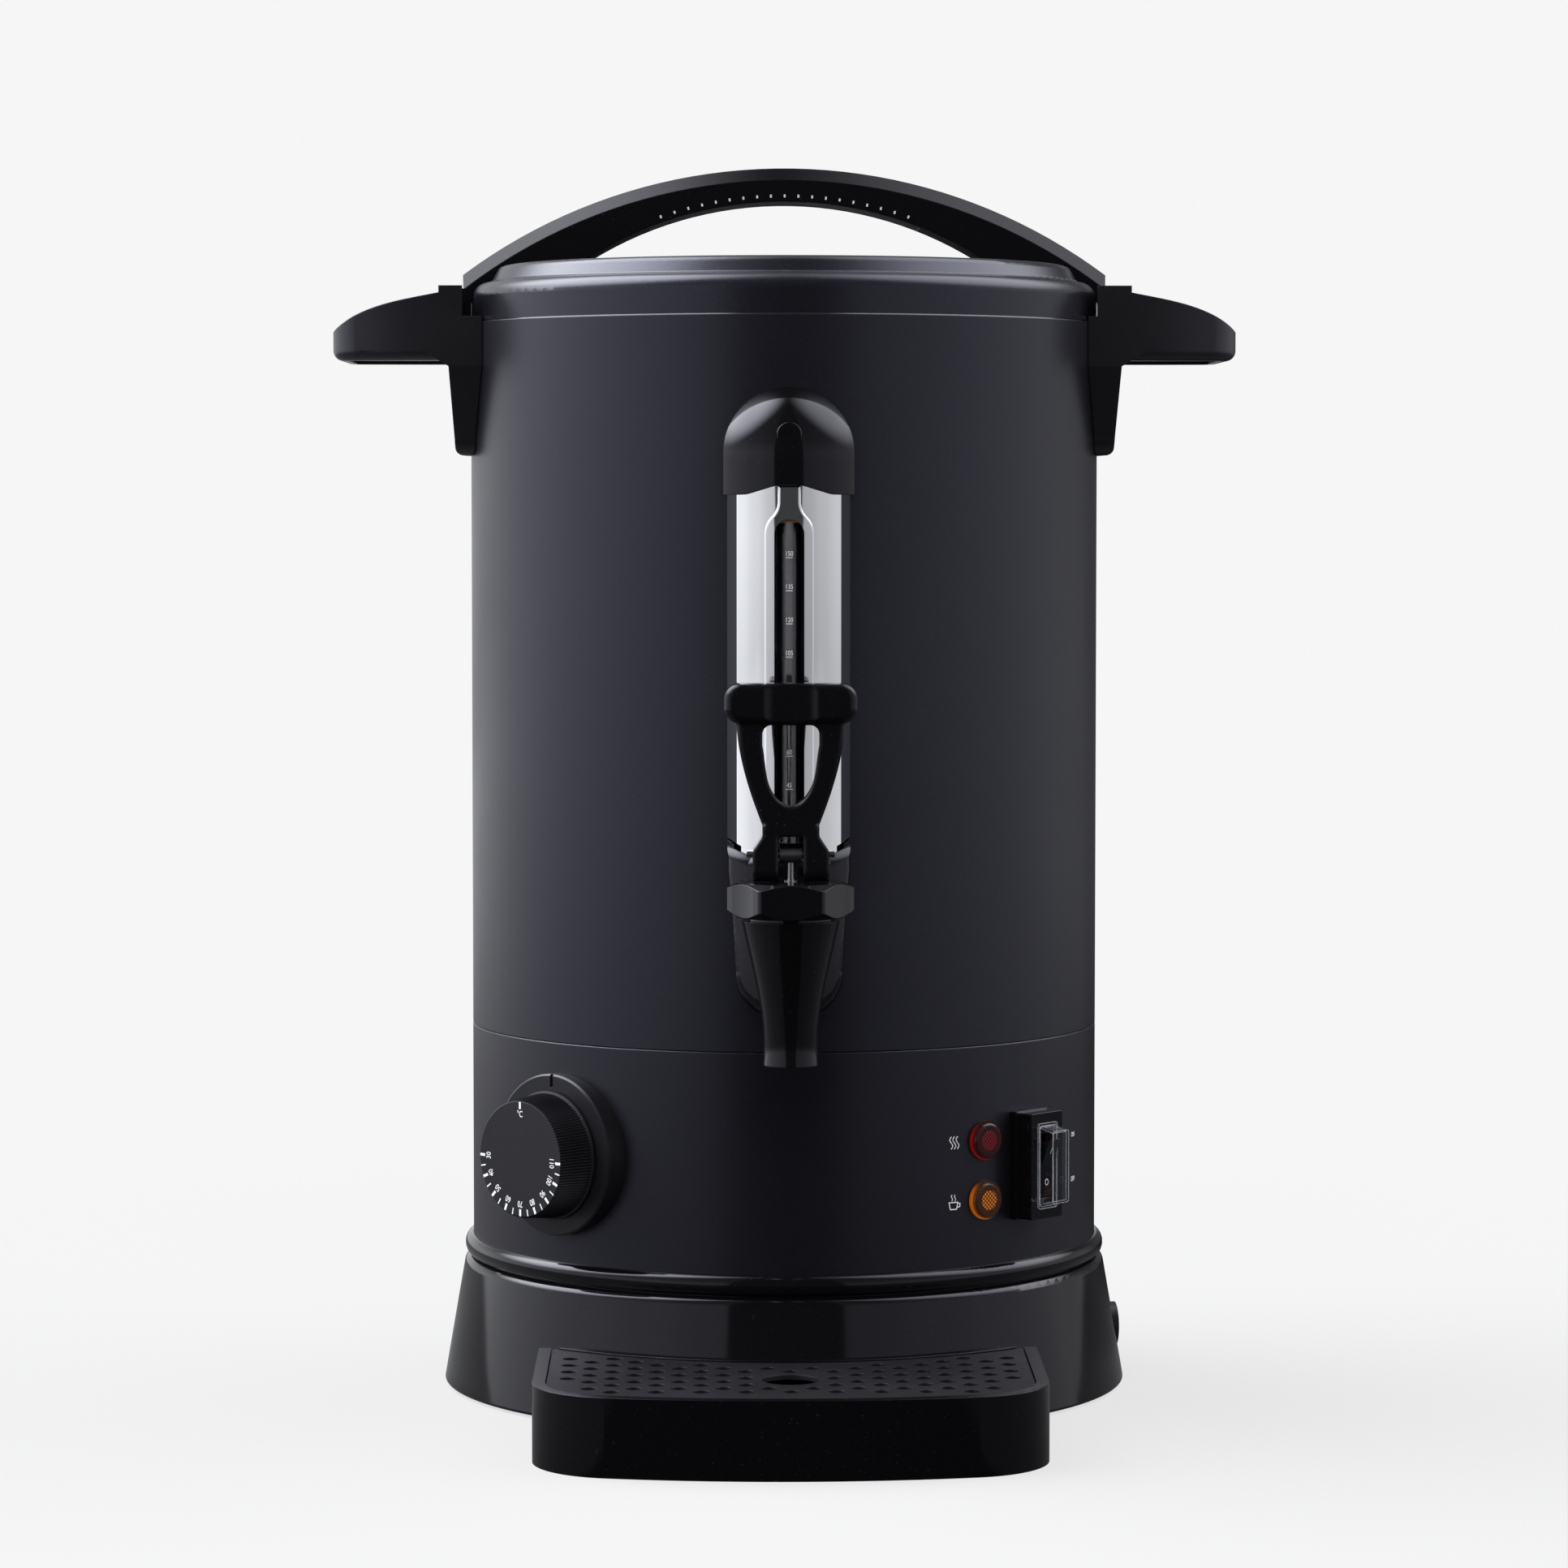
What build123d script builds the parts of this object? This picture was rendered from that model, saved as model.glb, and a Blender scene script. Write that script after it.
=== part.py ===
from build123d import *
import os
from math import cos, radians, sin, sqrt

os.makedirs("parts", exist_ok=True)

# A hot drink urn with a tap, rebuilt from the outside sizes that its photograph gives.
# The origin is on the tank's axis at the table. +Z is up, and the tap looks along -Y.

# Driving sizes of the whole urn, in millimetres
body_radius = 140.0
seam_height = 162.5
tank_top = 474.8
tank_sheet = 1.0
band_sheet = 1.2
band_edge_share = 0.6

# Clearances and allowances that many pieces share
slip = 0.1          # between round faces that are seated in each other
running = 0.05      # between a shaft and its hole, on the radius
part_gap = 0.4      # between pieces that move past each other
overrun = 5.0       # how far a cut runs past what it cuts
touch = 0.01        # how close an edge must be to a stated place to be picked


def facing(azimuth, height, reach):
    """A plane that faces outward at this reach from the axis; azimuth 0 is the front."""
    turn = radians(azimuth)
    return Plane(
        origin=(reach * sin(turn), -reach * cos(turn), height),
        x_dir=(cos(turn), sin(turn), 0),
        z_dir=(sin(turn), -cos(turn), 0),
    )


def rims(part, radius, height):
    """The round edges about the axis that have this radius and lie at this height."""
    circles = part.edges().filter_by(GeomType.CIRCLE)
    return circles.filter_by(
        lambda e: abs(e.radius - radius) < touch and abs(e.center().Z - height) < touch
    )


# Base skirt: one glossy moulding that flares to the table and carries the urn on a ledge
skirt_foot_radius = 153.2
skirt_top_radius = 143.4
skirt_lift = 1.2
skirt_top = 58.0
skirt_wall = 3.0
skirt_shoulder_round = 4.0
skirt_foot_round = 1.0
ledge_reach = 12.0
ledge_radius = body_radius - ledge_reach
skirt_flare_share = (skirt_foot_radius - skirt_top_radius) / (skirt_top - skirt_lift)


def skirt_radius(height):
    """The skirt's outer radius at a height."""
    return skirt_foot_radius - skirt_flare_share * (height - skirt_lift)


# Base plate with its feet and screws
plate_lift = 4.0
plate_sheet = 1.2
plate_gap = 0.6
plate_top = plate_lift + plate_sheet
plate_radius = skirt_radius(plate_top) - skirt_wall - plate_gap
boss_reach = 134.0
boss_radius = 4.5
boss_count = 4
boss_turn = 45.0
screw_shank_radius = 1.4
screw_length = 12.0
screw_head_radius = 3.4
screw_head_height = 1.6
foot_radius = 10.0
foot_circle_radius = 116.0
vent_length = 34.0
vent_width = 3.0
vent_count = 12
vent_reach = 80.0

# Cord inlet, low on the right-hand side of the skirt
gland_azimuth = 97.0
gland_height = 20.5
gland_flange_radius = 10.2
gland_barrel_radius = 7.4
gland_cord_radius = 4.0
gland_proud = 2.6
gland_barrel_length = 14.0
gland_nut_radius = 11.0
gland_nut_height = 5.0
gland_reach = skirt_radius(gland_height)
gland_nut_top = gland_height + gland_nut_radius
gland_nut_reach = sqrt((skirt_radius(gland_nut_top) - skirt_wall) ** 2 - gland_nut_radius**2) - slip

with BuildPart() as base_skirt:
    with BuildSketch(Plane.XZ):
        with BuildLine():
            Polyline(
                (skirt_foot_radius, skirt_lift),
                (skirt_top_radius, skirt_top),
                (ledge_radius, skirt_top),
                (ledge_radius, skirt_top - skirt_wall),
                (skirt_top_radius - skirt_wall, skirt_top - skirt_wall),
                (skirt_foot_radius - skirt_wall, skirt_lift),
                close=True,
            )
        make_face()
    revolve(axis=Axis.Z)
    fillet(rims(base_skirt, skirt_top_radius, skirt_top), skirt_shoulder_round)
    fillet(rims(base_skirt, skirt_foot_radius, skirt_lift), skirt_foot_round)
    with BuildSketch(Plane.XY.offset(plate_top)):
        with PolarLocations(boss_reach, boss_count, start_angle=boss_turn):
            Circle(boss_radius)
    extrude(amount=skirt_top - skirt_wall - plate_top)
    with BuildSketch(Plane.XY.offset(plate_top)):
        with PolarLocations(boss_reach, boss_count, start_angle=boss_turn):
            Circle(screw_shank_radius + slip)
    extrude(amount=screw_length, mode=Mode.SUBTRACT)
    with BuildSketch(facing(gland_azimuth, gland_height, gland_reach + overrun)):
        Circle(gland_barrel_radius + slip)
    extrude(amount=-skirt_wall - gland_barrel_length, mode=Mode.SUBTRACT)
base_skirt.part.label = "base_skirt"
export_step(base_skirt.part, "parts/base_skirt.step")

with BuildPart() as base_plate:
    with BuildSketch(Plane.XY.offset(plate_lift)):
        Circle(plate_radius)
        with PolarLocations(boss_reach, boss_count, start_angle=boss_turn):
            Circle(screw_shank_radius + slip, mode=Mode.SUBTRACT)
        with PolarLocations(vent_reach, vent_count):
            SlotOverall(vent_length, vent_width, mode=Mode.SUBTRACT)
    extrude(amount=plate_sheet)
base_plate.part.label = "base_plate"
export_step(base_plate.part, "parts/base_plate.step")

with BuildPart() as base_screws:
    with BuildSketch(Plane.XY.offset(plate_lift)):
        with PolarLocations(boss_reach, boss_count, start_angle=boss_turn):
            Circle(screw_head_radius)
    extrude(amount=-screw_head_height)
    with BuildSketch(Plane.XY.offset(plate_lift)):
        with PolarLocations(boss_reach, boss_count, start_angle=boss_turn):
            Circle(screw_shank_radius)
    extrude(amount=screw_length)
base_screws.part.label = "base_screws"
export_step(base_screws.part, "parts/base_screws.step")

with BuildPart() as feet:
    with BuildSketch():
        with PolarLocations(foot_circle_radius, boss_count, start_angle=boss_turn):
            Circle(foot_radius)
    extrude(amount=plate_lift)
feet.part.label = "feet"
export_step(feet.part, "parts/feet.step")

# The gland's flange is cut to the skirt's flare, so that it lies flat on it
with BuildPart() as cord_gland:
    with BuildSketch(facing(gland_azimuth, gland_height, gland_reach + gland_proud)):
        Circle(gland_flange_radius)
    extrude(amount=-gland_barrel_length)
    with BuildSketch(Plane.XZ):
        with BuildLine():
            Polyline(
                (0, skirt_lift),
                (skirt_foot_radius + slip, skirt_lift),
                (skirt_top_radius + slip, skirt_top),
                (0, skirt_top),
                close=True,
            )
        make_face()
    revolve(axis=Axis.Z, mode=Mode.SUBTRACT)
    with BuildSketch(facing(gland_azimuth, gland_height, gland_reach)):
        Circle(gland_barrel_radius)
    extrude(amount=-gland_barrel_length)
    with BuildSketch(facing(gland_azimuth, gland_height, gland_reach + overrun)):
        Circle(gland_cord_radius)
    extrude(amount=-gland_barrel_length - 2 * overrun, mode=Mode.SUBTRACT)
cord_gland.part.label = "cord_gland"
export_step(cord_gland.part, "parts/cord_gland.step")

with BuildPart() as gland_nut:
    with BuildSketch(facing(gland_azimuth, gland_height, gland_nut_reach)):
        RegularPolygon(gland_nut_radius, 6)
        Circle(gland_barrel_radius + slip, mode=Mode.SUBTRACT)
    extrude(amount=-gland_nut_height)
gland_nut.part.label = "gland_nut"
export_step(gland_nut.part, "parts/gland_nut.step")

# Bead ring: a round trim that hides the joint between the skirt and the control band
ring_height = 62.9
ring_half_height = 4.6
ring_proud = 3.6

with BuildPart() as base_ring:
    with BuildSketch(Plane.XZ):
        with Locations((body_radius + slip, ring_height)):
            Ellipse(ring_proud, ring_half_height)
        with Locations((body_radius + slip, ring_height)):
            Rectangle(
                2 * ring_proud,
                4 * ring_half_height,
                align=(Align.MAX, Align.CENTER),
                mode=Mode.SUBTRACT,
            )
    revolve(axis=Axis.Z)
base_ring.part.label = "base_ring"
export_step(base_ring.part, "parts/base_ring.step")

# Places of the controls on the band: azimuth from the front, and height
knob_azimuth = -44.0
knob_height = 114.6
lamp_azimuth = 37.2
red_lamp_height = 121.5
amber_lamp_height = 95.8
switch_azimuth = 48.0
switch_height = 109.2

# Thermostat: its body behind the band, the bush through it, and the knob on its shaft
bush_radius = 5.0
shaft_radius = 3.0
bezel_radius = 35.0
bezel_reach = 146.4
bezel_round = 0.8
index_width = 1.8
index_length = 5.7
index_depth = 1.0
thermostat_nut_radius = 8.0
thermostat_nut_height = 2.6
bush_reach = bezel_reach + thermostat_nut_height + part_gap
knob_back_reach = bezel_reach + 2 * part_gap
knob_front_reach = 165.2
knob_back_radius = 27.1
knob_front_radius = 25.3
knob_recess_radius = 22.0
knob_face_wall = 3.0
knob_front_round = 0.7
knob_hub_radius = 6.5
thermostat_width = 34.0
thermostat_tall = 28.0
thermostat_deep = 20.0
thermostat_reach = sqrt((body_radius - band_sheet) ** 2 - (thermostat_width / 2) ** 2) - slip
shaft_inner_reach = thermostat_reach - thermostat_deep / 2

# Lamps: a clear coloured cap on a black body that is pushed through the band
lamp_flange_radius = 8.5
lamp_flange_height = 1.4
lamp_dome_radius = 7.6
lamp_dome_height = 2.0
lamp_dome_round = 1.2
lamp_barrel_radius = 5.8
lamp_barrel_length = 20.0
lamp_bore_radius = 4.4
lamp_spigot_length = 6.0
lamp_reach = body_radius + slip

# Switch: a raised frame, a rocker in its well, and a clear splash hood over it
switch_foot_width = 22.6
switch_foot_tall = 47.0
switch_foot_reach = 142.9
switch_width = 21.4
switch_tall = 46.0
switch_reach = 151.0
switch_round = 1.0
switch_well_width = 8.6
switch_well_tall = 28.0
switch_body_width = 12.5
switch_body_tall = 31.0
switch_body_reach = 118.0
rocker_half_length = 12.6
rocker_tip = 2.3
rocker_deep = 7.0
rocker_back_share = 0.6
rocker_rest_tilt = 10.0
rocker_side_gap = 0.5
rocker_width = switch_well_width - 2 * rocker_side_gap
rocker_pivot_radius = 1.2
rocker_pivot_length = 1.4
rocker_pivot_reach = switch_reach - rocker_tip
hood_flange_width = 13.0
hood_flange_tall = 37.2
hood_flange_height = 0.8
hood_width = 11.4
hood_tall = 35.2
hood_front_width = 11.0
hood_front_tall = 31.4
hood_height = 7.8
hood_wall = 0.8
hood_round = 1.2

with BuildPart() as control_band:
    with BuildSketch(Plane.XY.offset(skirt_top)):
        Circle(body_radius)
        Circle(body_radius - band_sheet, mode=Mode.SUBTRACT)
    extrude(amount=seam_height - skirt_top)
    with BuildSketch(facing(knob_azimuth, knob_height, body_radius + overrun)):
        Circle(bush_radius + slip)
    extrude(amount=-4 * overrun, mode=Mode.SUBTRACT)
    for lamp_height in (red_lamp_height, amber_lamp_height):
        with BuildSketch(facing(lamp_azimuth, lamp_height, body_radius + overrun)):
            Circle(lamp_barrel_radius + slip)
        extrude(amount=-4 * overrun, mode=Mode.SUBTRACT)
    with BuildSketch(facing(switch_azimuth, switch_height, body_radius + overrun)):
        Rectangle(switch_body_width + 2 * slip, switch_body_tall + 2 * slip)
    extrude(amount=-4 * overrun, mode=Mode.SUBTRACT)
    fillet(rims(control_band, body_radius, seam_height), band_sheet * band_edge_share)
control_band.part.label = "control_band"
export_step(control_band.part, "parts/control_band.step")

with BuildPart() as thermostat_bezel:
    with BuildSketch(facing(knob_azimuth, knob_height, bezel_reach)):
        Circle(bezel_radius)
    extrude(amount=-bezel_radius)
    front_edge = thermostat_bezel.edges().filter_by(GeomType.CIRCLE).sort_by(
        lambda e: e.center().dot(facing(knob_azimuth, knob_height, bezel_reach).z_dir)
    )[-1]
    chamfer(front_edge, bezel_round)
    with BuildSketch(Plane.XY.offset(skirt_top)):
        Circle(body_radius + slip)
    extrude(amount=seam_height - skirt_top, mode=Mode.SUBTRACT)
    with BuildSketch(facing(knob_azimuth, knob_height, bezel_reach)):
        Circle(bush_radius + slip)
        with Locations((0, bezel_radius)):
            Rectangle(index_width, 2 * index_length, mode=Mode.ADD)
    extrude(amount=-index_depth, mode=Mode.SUBTRACT)
    with BuildSketch(facing(knob_azimuth, knob_height, bezel_reach + overrun)):
        Circle(bush_radius + slip)
    extrude(amount=-bezel_radius, mode=Mode.SUBTRACT)
thermostat_bezel.part.label = "thermostat_bezel"
export_step(thermostat_bezel.part, "parts/thermostat_bezel.step")

with BuildPart() as thermostat_body:
    with BuildSketch(facing(knob_azimuth, knob_height, thermostat_reach)):
        Rectangle(thermostat_width, thermostat_tall)
    extrude(amount=-thermostat_deep)
    with BuildSketch(facing(knob_azimuth, knob_height, thermostat_reach)):
        Circle(bush_radius)
    extrude(amount=bush_reach - thermostat_reach)
    with BuildSketch(facing(knob_azimuth, knob_height, bush_reach)):
        Circle(shaft_radius + running)
    extrude(amount=shaft_inner_reach - part_gap - bush_reach, mode=Mode.SUBTRACT)
thermostat_body.part.label = "thermostat_body"
export_step(thermostat_body.part, "parts/thermostat_body.step")

with BuildPart() as thermostat_nut:
    with BuildSketch(facing(knob_azimuth, knob_height, bezel_reach)):
        RegularPolygon(thermostat_nut_radius, 6)
        Circle(bush_radius + slip, mode=Mode.SUBTRACT)
    extrude(amount=thermostat_nut_height)
thermostat_nut.part.label = "thermostat_nut"
export_step(thermostat_nut.part, "parts/thermostat_nut.step")

with BuildPart() as thermostat_shaft:
    with BuildSketch(facing(knob_azimuth, knob_height, shaft_inner_reach)):
        Circle(shaft_radius)
    extrude(amount=knob_front_reach - knob_face_wall - part_gap - shaft_inner_reach)
thermostat_shaft.part.label = "thermostat_shaft"
export_step(thermostat_shaft.part, "parts/thermostat_shaft.step")

knob_depth = knob_front_reach - knob_back_reach
with BuildPart(facing(knob_azimuth, knob_height, knob_back_reach)) as thermostat_knob:
    Cone(
        knob_back_radius,
        knob_front_radius,
        knob_depth,
        align=(Align.CENTER, Align.CENTER, Align.MIN),
    )
    front_edge = thermostat_knob.edges().filter_by(GeomType.CIRCLE).sort_by(
        lambda e: e.center().dot(facing(knob_azimuth, knob_height, knob_back_reach).z_dir)
    )[-1]
    fillet(front_edge, knob_front_round)
    with BuildSketch(facing(knob_azimuth, knob_height, knob_back_reach)):
        Circle(knob_recess_radius)
    extrude(amount=knob_depth - knob_face_wall, mode=Mode.SUBTRACT)
    with BuildSketch(facing(knob_azimuth, knob_height, bush_reach + part_gap)):
        Circle(knob_hub_radius)
    extrude(amount=knob_front_reach - knob_face_wall - bush_reach - part_gap)
    with BuildSketch(facing(knob_azimuth, knob_height, knob_back_reach)):
        Circle(shaft_radius + running)
    extrude(amount=knob_depth - knob_face_wall, mode=Mode.SUBTRACT)
thermostat_knob.part.label = "thermostat_knob"
export_step(thermostat_knob.part, "parts/thermostat_knob.step")

for lamp_name, lamp_height in (("red_lamp", red_lamp_height), ("amber_lamp", amber_lamp_height)):
    with BuildPart() as lamp_lens:
        with BuildSketch(facing(lamp_azimuth, lamp_height, lamp_reach)):
            Circle(lamp_flange_radius)
        extrude(amount=lamp_flange_height)
        with BuildSketch(facing(lamp_azimuth, lamp_height, lamp_reach + lamp_flange_height)):
            Circle(lamp_dome_radius)
        extrude(amount=lamp_dome_height)
        by_reach = lamp_lens.edges().filter_by(GeomType.CIRCLE).sort_by(
            lambda e: e.center().dot(facing(lamp_azimuth, lamp_height, lamp_reach).z_dir)
        )
        fillet(by_reach[-1], lamp_dome_round)
        with BuildSketch(facing(lamp_azimuth, lamp_height, lamp_reach)):
            Circle(lamp_bore_radius - slip)
            Circle(lamp_bore_radius - tank_sheet, mode=Mode.SUBTRACT)
        extrude(amount=-lamp_spigot_length)
    lamp_lens.part.label = lamp_name + "_lens"
    export_step(lamp_lens.part, "parts/" + lamp_name + "_lens.step")

    with BuildPart() as lamp_body:
        with BuildSketch(facing(lamp_azimuth, lamp_height, lamp_reach)):
            Circle(lamp_barrel_radius)
        extrude(amount=-lamp_barrel_length)
        with BuildSketch(facing(lamp_azimuth, lamp_height, lamp_reach)):
            Circle(lamp_bore_radius)
        extrude(amount=part_gap - lamp_spigot_length * 2, mode=Mode.SUBTRACT)
    lamp_body.part.label = lamp_name + "_body"
    export_step(lamp_body.part, "parts/" + lamp_name + "_body.step")

# The rocker's side view: x runs outward and y downward, with the pivot at the middle
rocker_plane = facing(switch_azimuth, switch_height, rocker_pivot_reach)
rocker_side = Plane(
    origin=rocker_plane.origin,
    x_dir=rocker_plane.z_dir,
    z_dir=rocker_plane.x_dir,
)

rocker_tilt = radians(rocker_rest_tilt)
rocker_tilted = Plane(
    origin=rocker_side.origin,
    x_dir=rocker_side.x_dir * cos(rocker_tilt) + rocker_side.y_dir * sin(rocker_tilt),
    z_dir=rocker_side.z_dir,
)

with BuildPart() as switch_frame:
    with BuildSketch(facing(switch_azimuth, switch_height, switch_foot_reach)):
        RectangleRounded(switch_foot_width, switch_foot_tall, switch_round)
    extrude(amount=-switch_foot_width)
    with BuildSketch(facing(switch_azimuth, switch_height, switch_reach)):
        RectangleRounded(switch_width, switch_tall, switch_round)
    extrude(amount=-switch_foot_width)
    with BuildSketch(Plane.XY.offset(skirt_top)):
        Circle(body_radius + slip)
    extrude(amount=seam_height - skirt_top, mode=Mode.SUBTRACT)
    with BuildSketch(facing(switch_azimuth, switch_height, switch_reach - hood_wall)):
        Rectangle(switch_body_width, switch_body_tall)
    extrude(amount=switch_body_reach - switch_reach)
    with BuildSketch(facing(switch_azimuth, switch_height, switch_reach)):
        Rectangle(switch_well_width, switch_well_tall)
    extrude(amount=-switch_well_tall / 2 - rocker_tip, mode=Mode.SUBTRACT)
    with BuildSketch(rocker_side):
        Circle(rocker_pivot_radius + running)
    extrude(amount=switch_well_width / 2 + rocker_pivot_length + part_gap, both=True, mode=Mode.SUBTRACT)
switch_frame.part.label = "switch_frame"
export_step(switch_frame.part, "parts/switch_frame.step")

# The rocker is a shallow V with its upper end proud, so the switch stands at off
with BuildPart() as switch_rocker:
    with BuildSketch(rocker_tilted):
        with BuildLine():
            Polyline(
                (-rocker_deep, rocker_half_length * rocker_back_share),
                (2 * rocker_tip, rocker_half_length),
                (rocker_tip, 0),
                (2 * rocker_tip, -rocker_half_length),
                (-rocker_deep, -rocker_half_length * rocker_back_share),
                close=True,
            )
        make_face()
    extrude(amount=rocker_width / 2, both=True)
    with BuildSketch(rocker_side):
        Circle(rocker_pivot_radius)
    extrude(amount=switch_well_width / 2 + rocker_pivot_length, both=True)
switch_rocker.part.label = "switch_rocker"
export_step(switch_rocker.part, "parts/switch_rocker.step")

with BuildPart() as switch_hood:
    with BuildSketch(facing(switch_azimuth, switch_height, switch_reach)):
        RectangleRounded(hood_flange_width, hood_flange_tall, hood_round)
    extrude(amount=hood_flange_height)
    with BuildSketch(facing(switch_azimuth, switch_height, switch_reach)):
        RectangleRounded(hood_width, hood_tall, hood_round)
    with BuildSketch(facing(switch_azimuth, switch_height, switch_reach + hood_height)):
        RectangleRounded(hood_front_width, hood_front_tall, hood_round)
    loft()
    with BuildSketch(facing(switch_azimuth, switch_height, switch_reach)):
        Rectangle(hood_width - 2 * hood_wall, hood_tall - 2 * hood_wall)
    with BuildSketch(facing(switch_azimuth, switch_height, switch_reach + hood_height - hood_wall)):
        Rectangle(hood_front_width - 2 * hood_wall, hood_front_tall - 2 * hood_wall)
    loft(mode=Mode.SUBTRACT)
switch_hood.part.label = "switch_hood"
export_step(switch_hood.part, "parts/switch_hood.step")

# Tank: a rolled and seamed wall with a bead at its mouth, and a bottom that enters the band
tank_floor = 166.5
tank_inner_radius = body_radius - tank_sheet
spigot_radius = body_radius - band_sheet - slip
spigot_length = 16.5
mouth_neck_height = 3.4
bead_radius = 138.2
bead_inner_radius = 133.0
bead_height = 3.0
mouth_inner_radius = bead_radius - tank_sheet
neck_top = tank_top + mouth_neck_height
bead_top = neck_top + bead_height
tank_edge_round = 0.4

# Tap: its axis stands in front of the tank, and its shank goes through the tank wall
tap_gap = 11.96
bonnet_radius = 26.6
bonnet_sides = 6
bonnet_flat_reach = bonnet_radius * cos(radians(180 / bonnet_sides))
shank_height = 212.0
shank_radius = 9.5
shank_bore = 6.5
shank_inner_reach = 122.0
shank_collar_radius = 12.5
shank_collar_length = 2.6
washer_sheet = 2.0
washer_radius = 15.0
tap_nut_radius = 15.6
tap_nut_height = 6.0
shank_hole_radius = shank_radius + slip
washer_sag = body_radius - sqrt(body_radius**2 - washer_radius**2)
outer_washer_reach = body_radius + slip
inner_washer_reach = sqrt(tank_inner_radius**2 - washer_radius**2) - slip

# Sight gauge: a glass tube on a block round the shank, behind a chromed cover and caps
gauge_reach = 150.0
tube_radius = 5.0
tube_wall = 1.0
tube_bottom = 230.0
tube_top = 393.0
fitting_half_width = 13.0
fitting_bottom = 199.0
fitting_top = 238.0
seal_wall = 2.0
lower_seal_height = 7.0
upper_seal_height = 6.0
upper_seal_half_width = 7.5
cover_half_width = 26.0
cover_reach = 157.0
cover_sheet = 1.0
cover_front_half_width = 21.9
cover_bow_radius = 33.0
cover_round = 1.6
cover_bottom = 241.0
cover_top = 405.0
slot_width = 12.6
slot_top = 388.5
slot_lip_width = 21.0
slot_lip_proud = 1.6
slot_lip_round = 1.3
slot_neck_width = 9.8
slot_neck_round = 9.0
cap_half_width = 27.6
cap_reach = 158.8
cap_crown = 444.0
cap_side_bottom = 398.7
cap_middle_bottom = 402.8
cap_middle_half_width = 5.0
cap_side_half_width = 20.0
cap_edge_bend = 14.0
cap_screw_height = 424.0
cap_boss_radius = 5.0
cap_screw_radius = 1.9
cap_screw_length = 9.0
cap_screw_head_radius = 4.0
cap_screw_head_height = 2.2
cap_wall = cap_half_width - cover_half_width - slip
lower_cap_reach = 160.0
lower_cap_half_width = 26.0
lower_cap_bend_half_width = 24.4
lower_cap_foot_half_width = 22.9
lower_cap_side_top = 254.0
lower_cap_middle_top = 247.6
lower_cap_middle_half_width = 13.5
lower_cap_bend_top = 240.0
lower_cap_bend = 222.0
lower_cap_foot = 198.0
lower_cap_bottom = 179.0
lower_cap_round = 6.0
lower_cap_foot_round = 18.0
tap_reach = lower_cap_reach + tap_gap + bonnet_flat_reach
lower_cap_wall = lower_cap_reach - cover_reach - slip
lower_cap_slope_share = (lower_cap_side_top - lower_cap_middle_top) / (
    lower_cap_half_width - lower_cap_middle_half_width
)
cover_tongue_half_width = lower_cap_half_width - lower_cap_wall - lower_cap_round / 2


def front_at(reach, half_width):
    """How far out a bowed front of that reach still stands at a half width."""
    bow = cover_bow_radius + reach - cover_reach
    return reach - bow + sqrt(bow**2 - half_width**2)


fitting_reach = front_at(lower_cap_reach - lower_cap_wall, fitting_half_width) - slip
upper_seal_reach = cover_reach - cover_sheet - slip
fitting_back_reach = outer_washer_reach + washer_sheet

# Side handles: one moulding, fitted twice
handle_half_width = 44.0
handle_side_bottom = 455.0
handle_waist_height = 424.0
handle_waist_half_width = 31.0
handle_bottom = 416.0
handle_top = 490.4
bracket_reach = 148.0
bracket_foot_reach = 145.6
bracket_low_round = 3.4
wing_reach = 199.5
wing_tip_half_width = 38.7
wing_sag_share = 0.25
wing_underside = 457.6
wing_corner = 12.0
wing_root_top = 487.4
wing_middle_step = 29.5
wing_wall = 3.0
wing_rim = 6.5
wing_low_round = 4.5
wing_middle_top = 483.9
wing_tip_step = 7.5
wing_outer_top = 475.8
wing_tip_top = 470.0
pocket_radius = 148.5
pocket_lip_reach = 152.3
pocket_floor = 477.0
pocket_inner_radius = 144.0
pocket_side = 19.6
wing_middle_reach = wing_reach - wing_middle_step
wing_outer_reach = wing_reach - wing_tip_step
wing_mid_reach = (bracket_reach + wing_reach) / 2
wing_mid_half_width = handle_half_width - wing_sag_share * (handle_half_width - wing_tip_half_width)
handle_screw_heights = (431.0, 466.0)
handle_screw_radius = 2.4
handle_screw_reach = 145.0
handle_screw_head_radius = 4.5
handle_screw_head_height = 2.6
handle_washer_radius = 5.5
handle_washer_sheet = 0.8


def cover_plan(reach, front_half_width, half_width):
    """The gauge cover's plan: a bowed front, and sides that spread towards the tank."""
    front_edge = front_at(reach, front_half_width)
    side_edge = sqrt(body_radius**2 - half_width**2)
    with BuildSketch() as plan:
        with BuildLine():
            ThreePointArc(
                (-front_half_width, -front_edge), (0, -reach), (front_half_width, -front_edge)
            )
            Polyline(
                (front_half_width, -front_edge),
                (half_width, -side_edge),
                (half_width, 0),
                (-half_width, 0),
                (-half_width, -side_edge),
                (-front_half_width, -front_edge),
            )
        make_face()
    return plan.sketch


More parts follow.
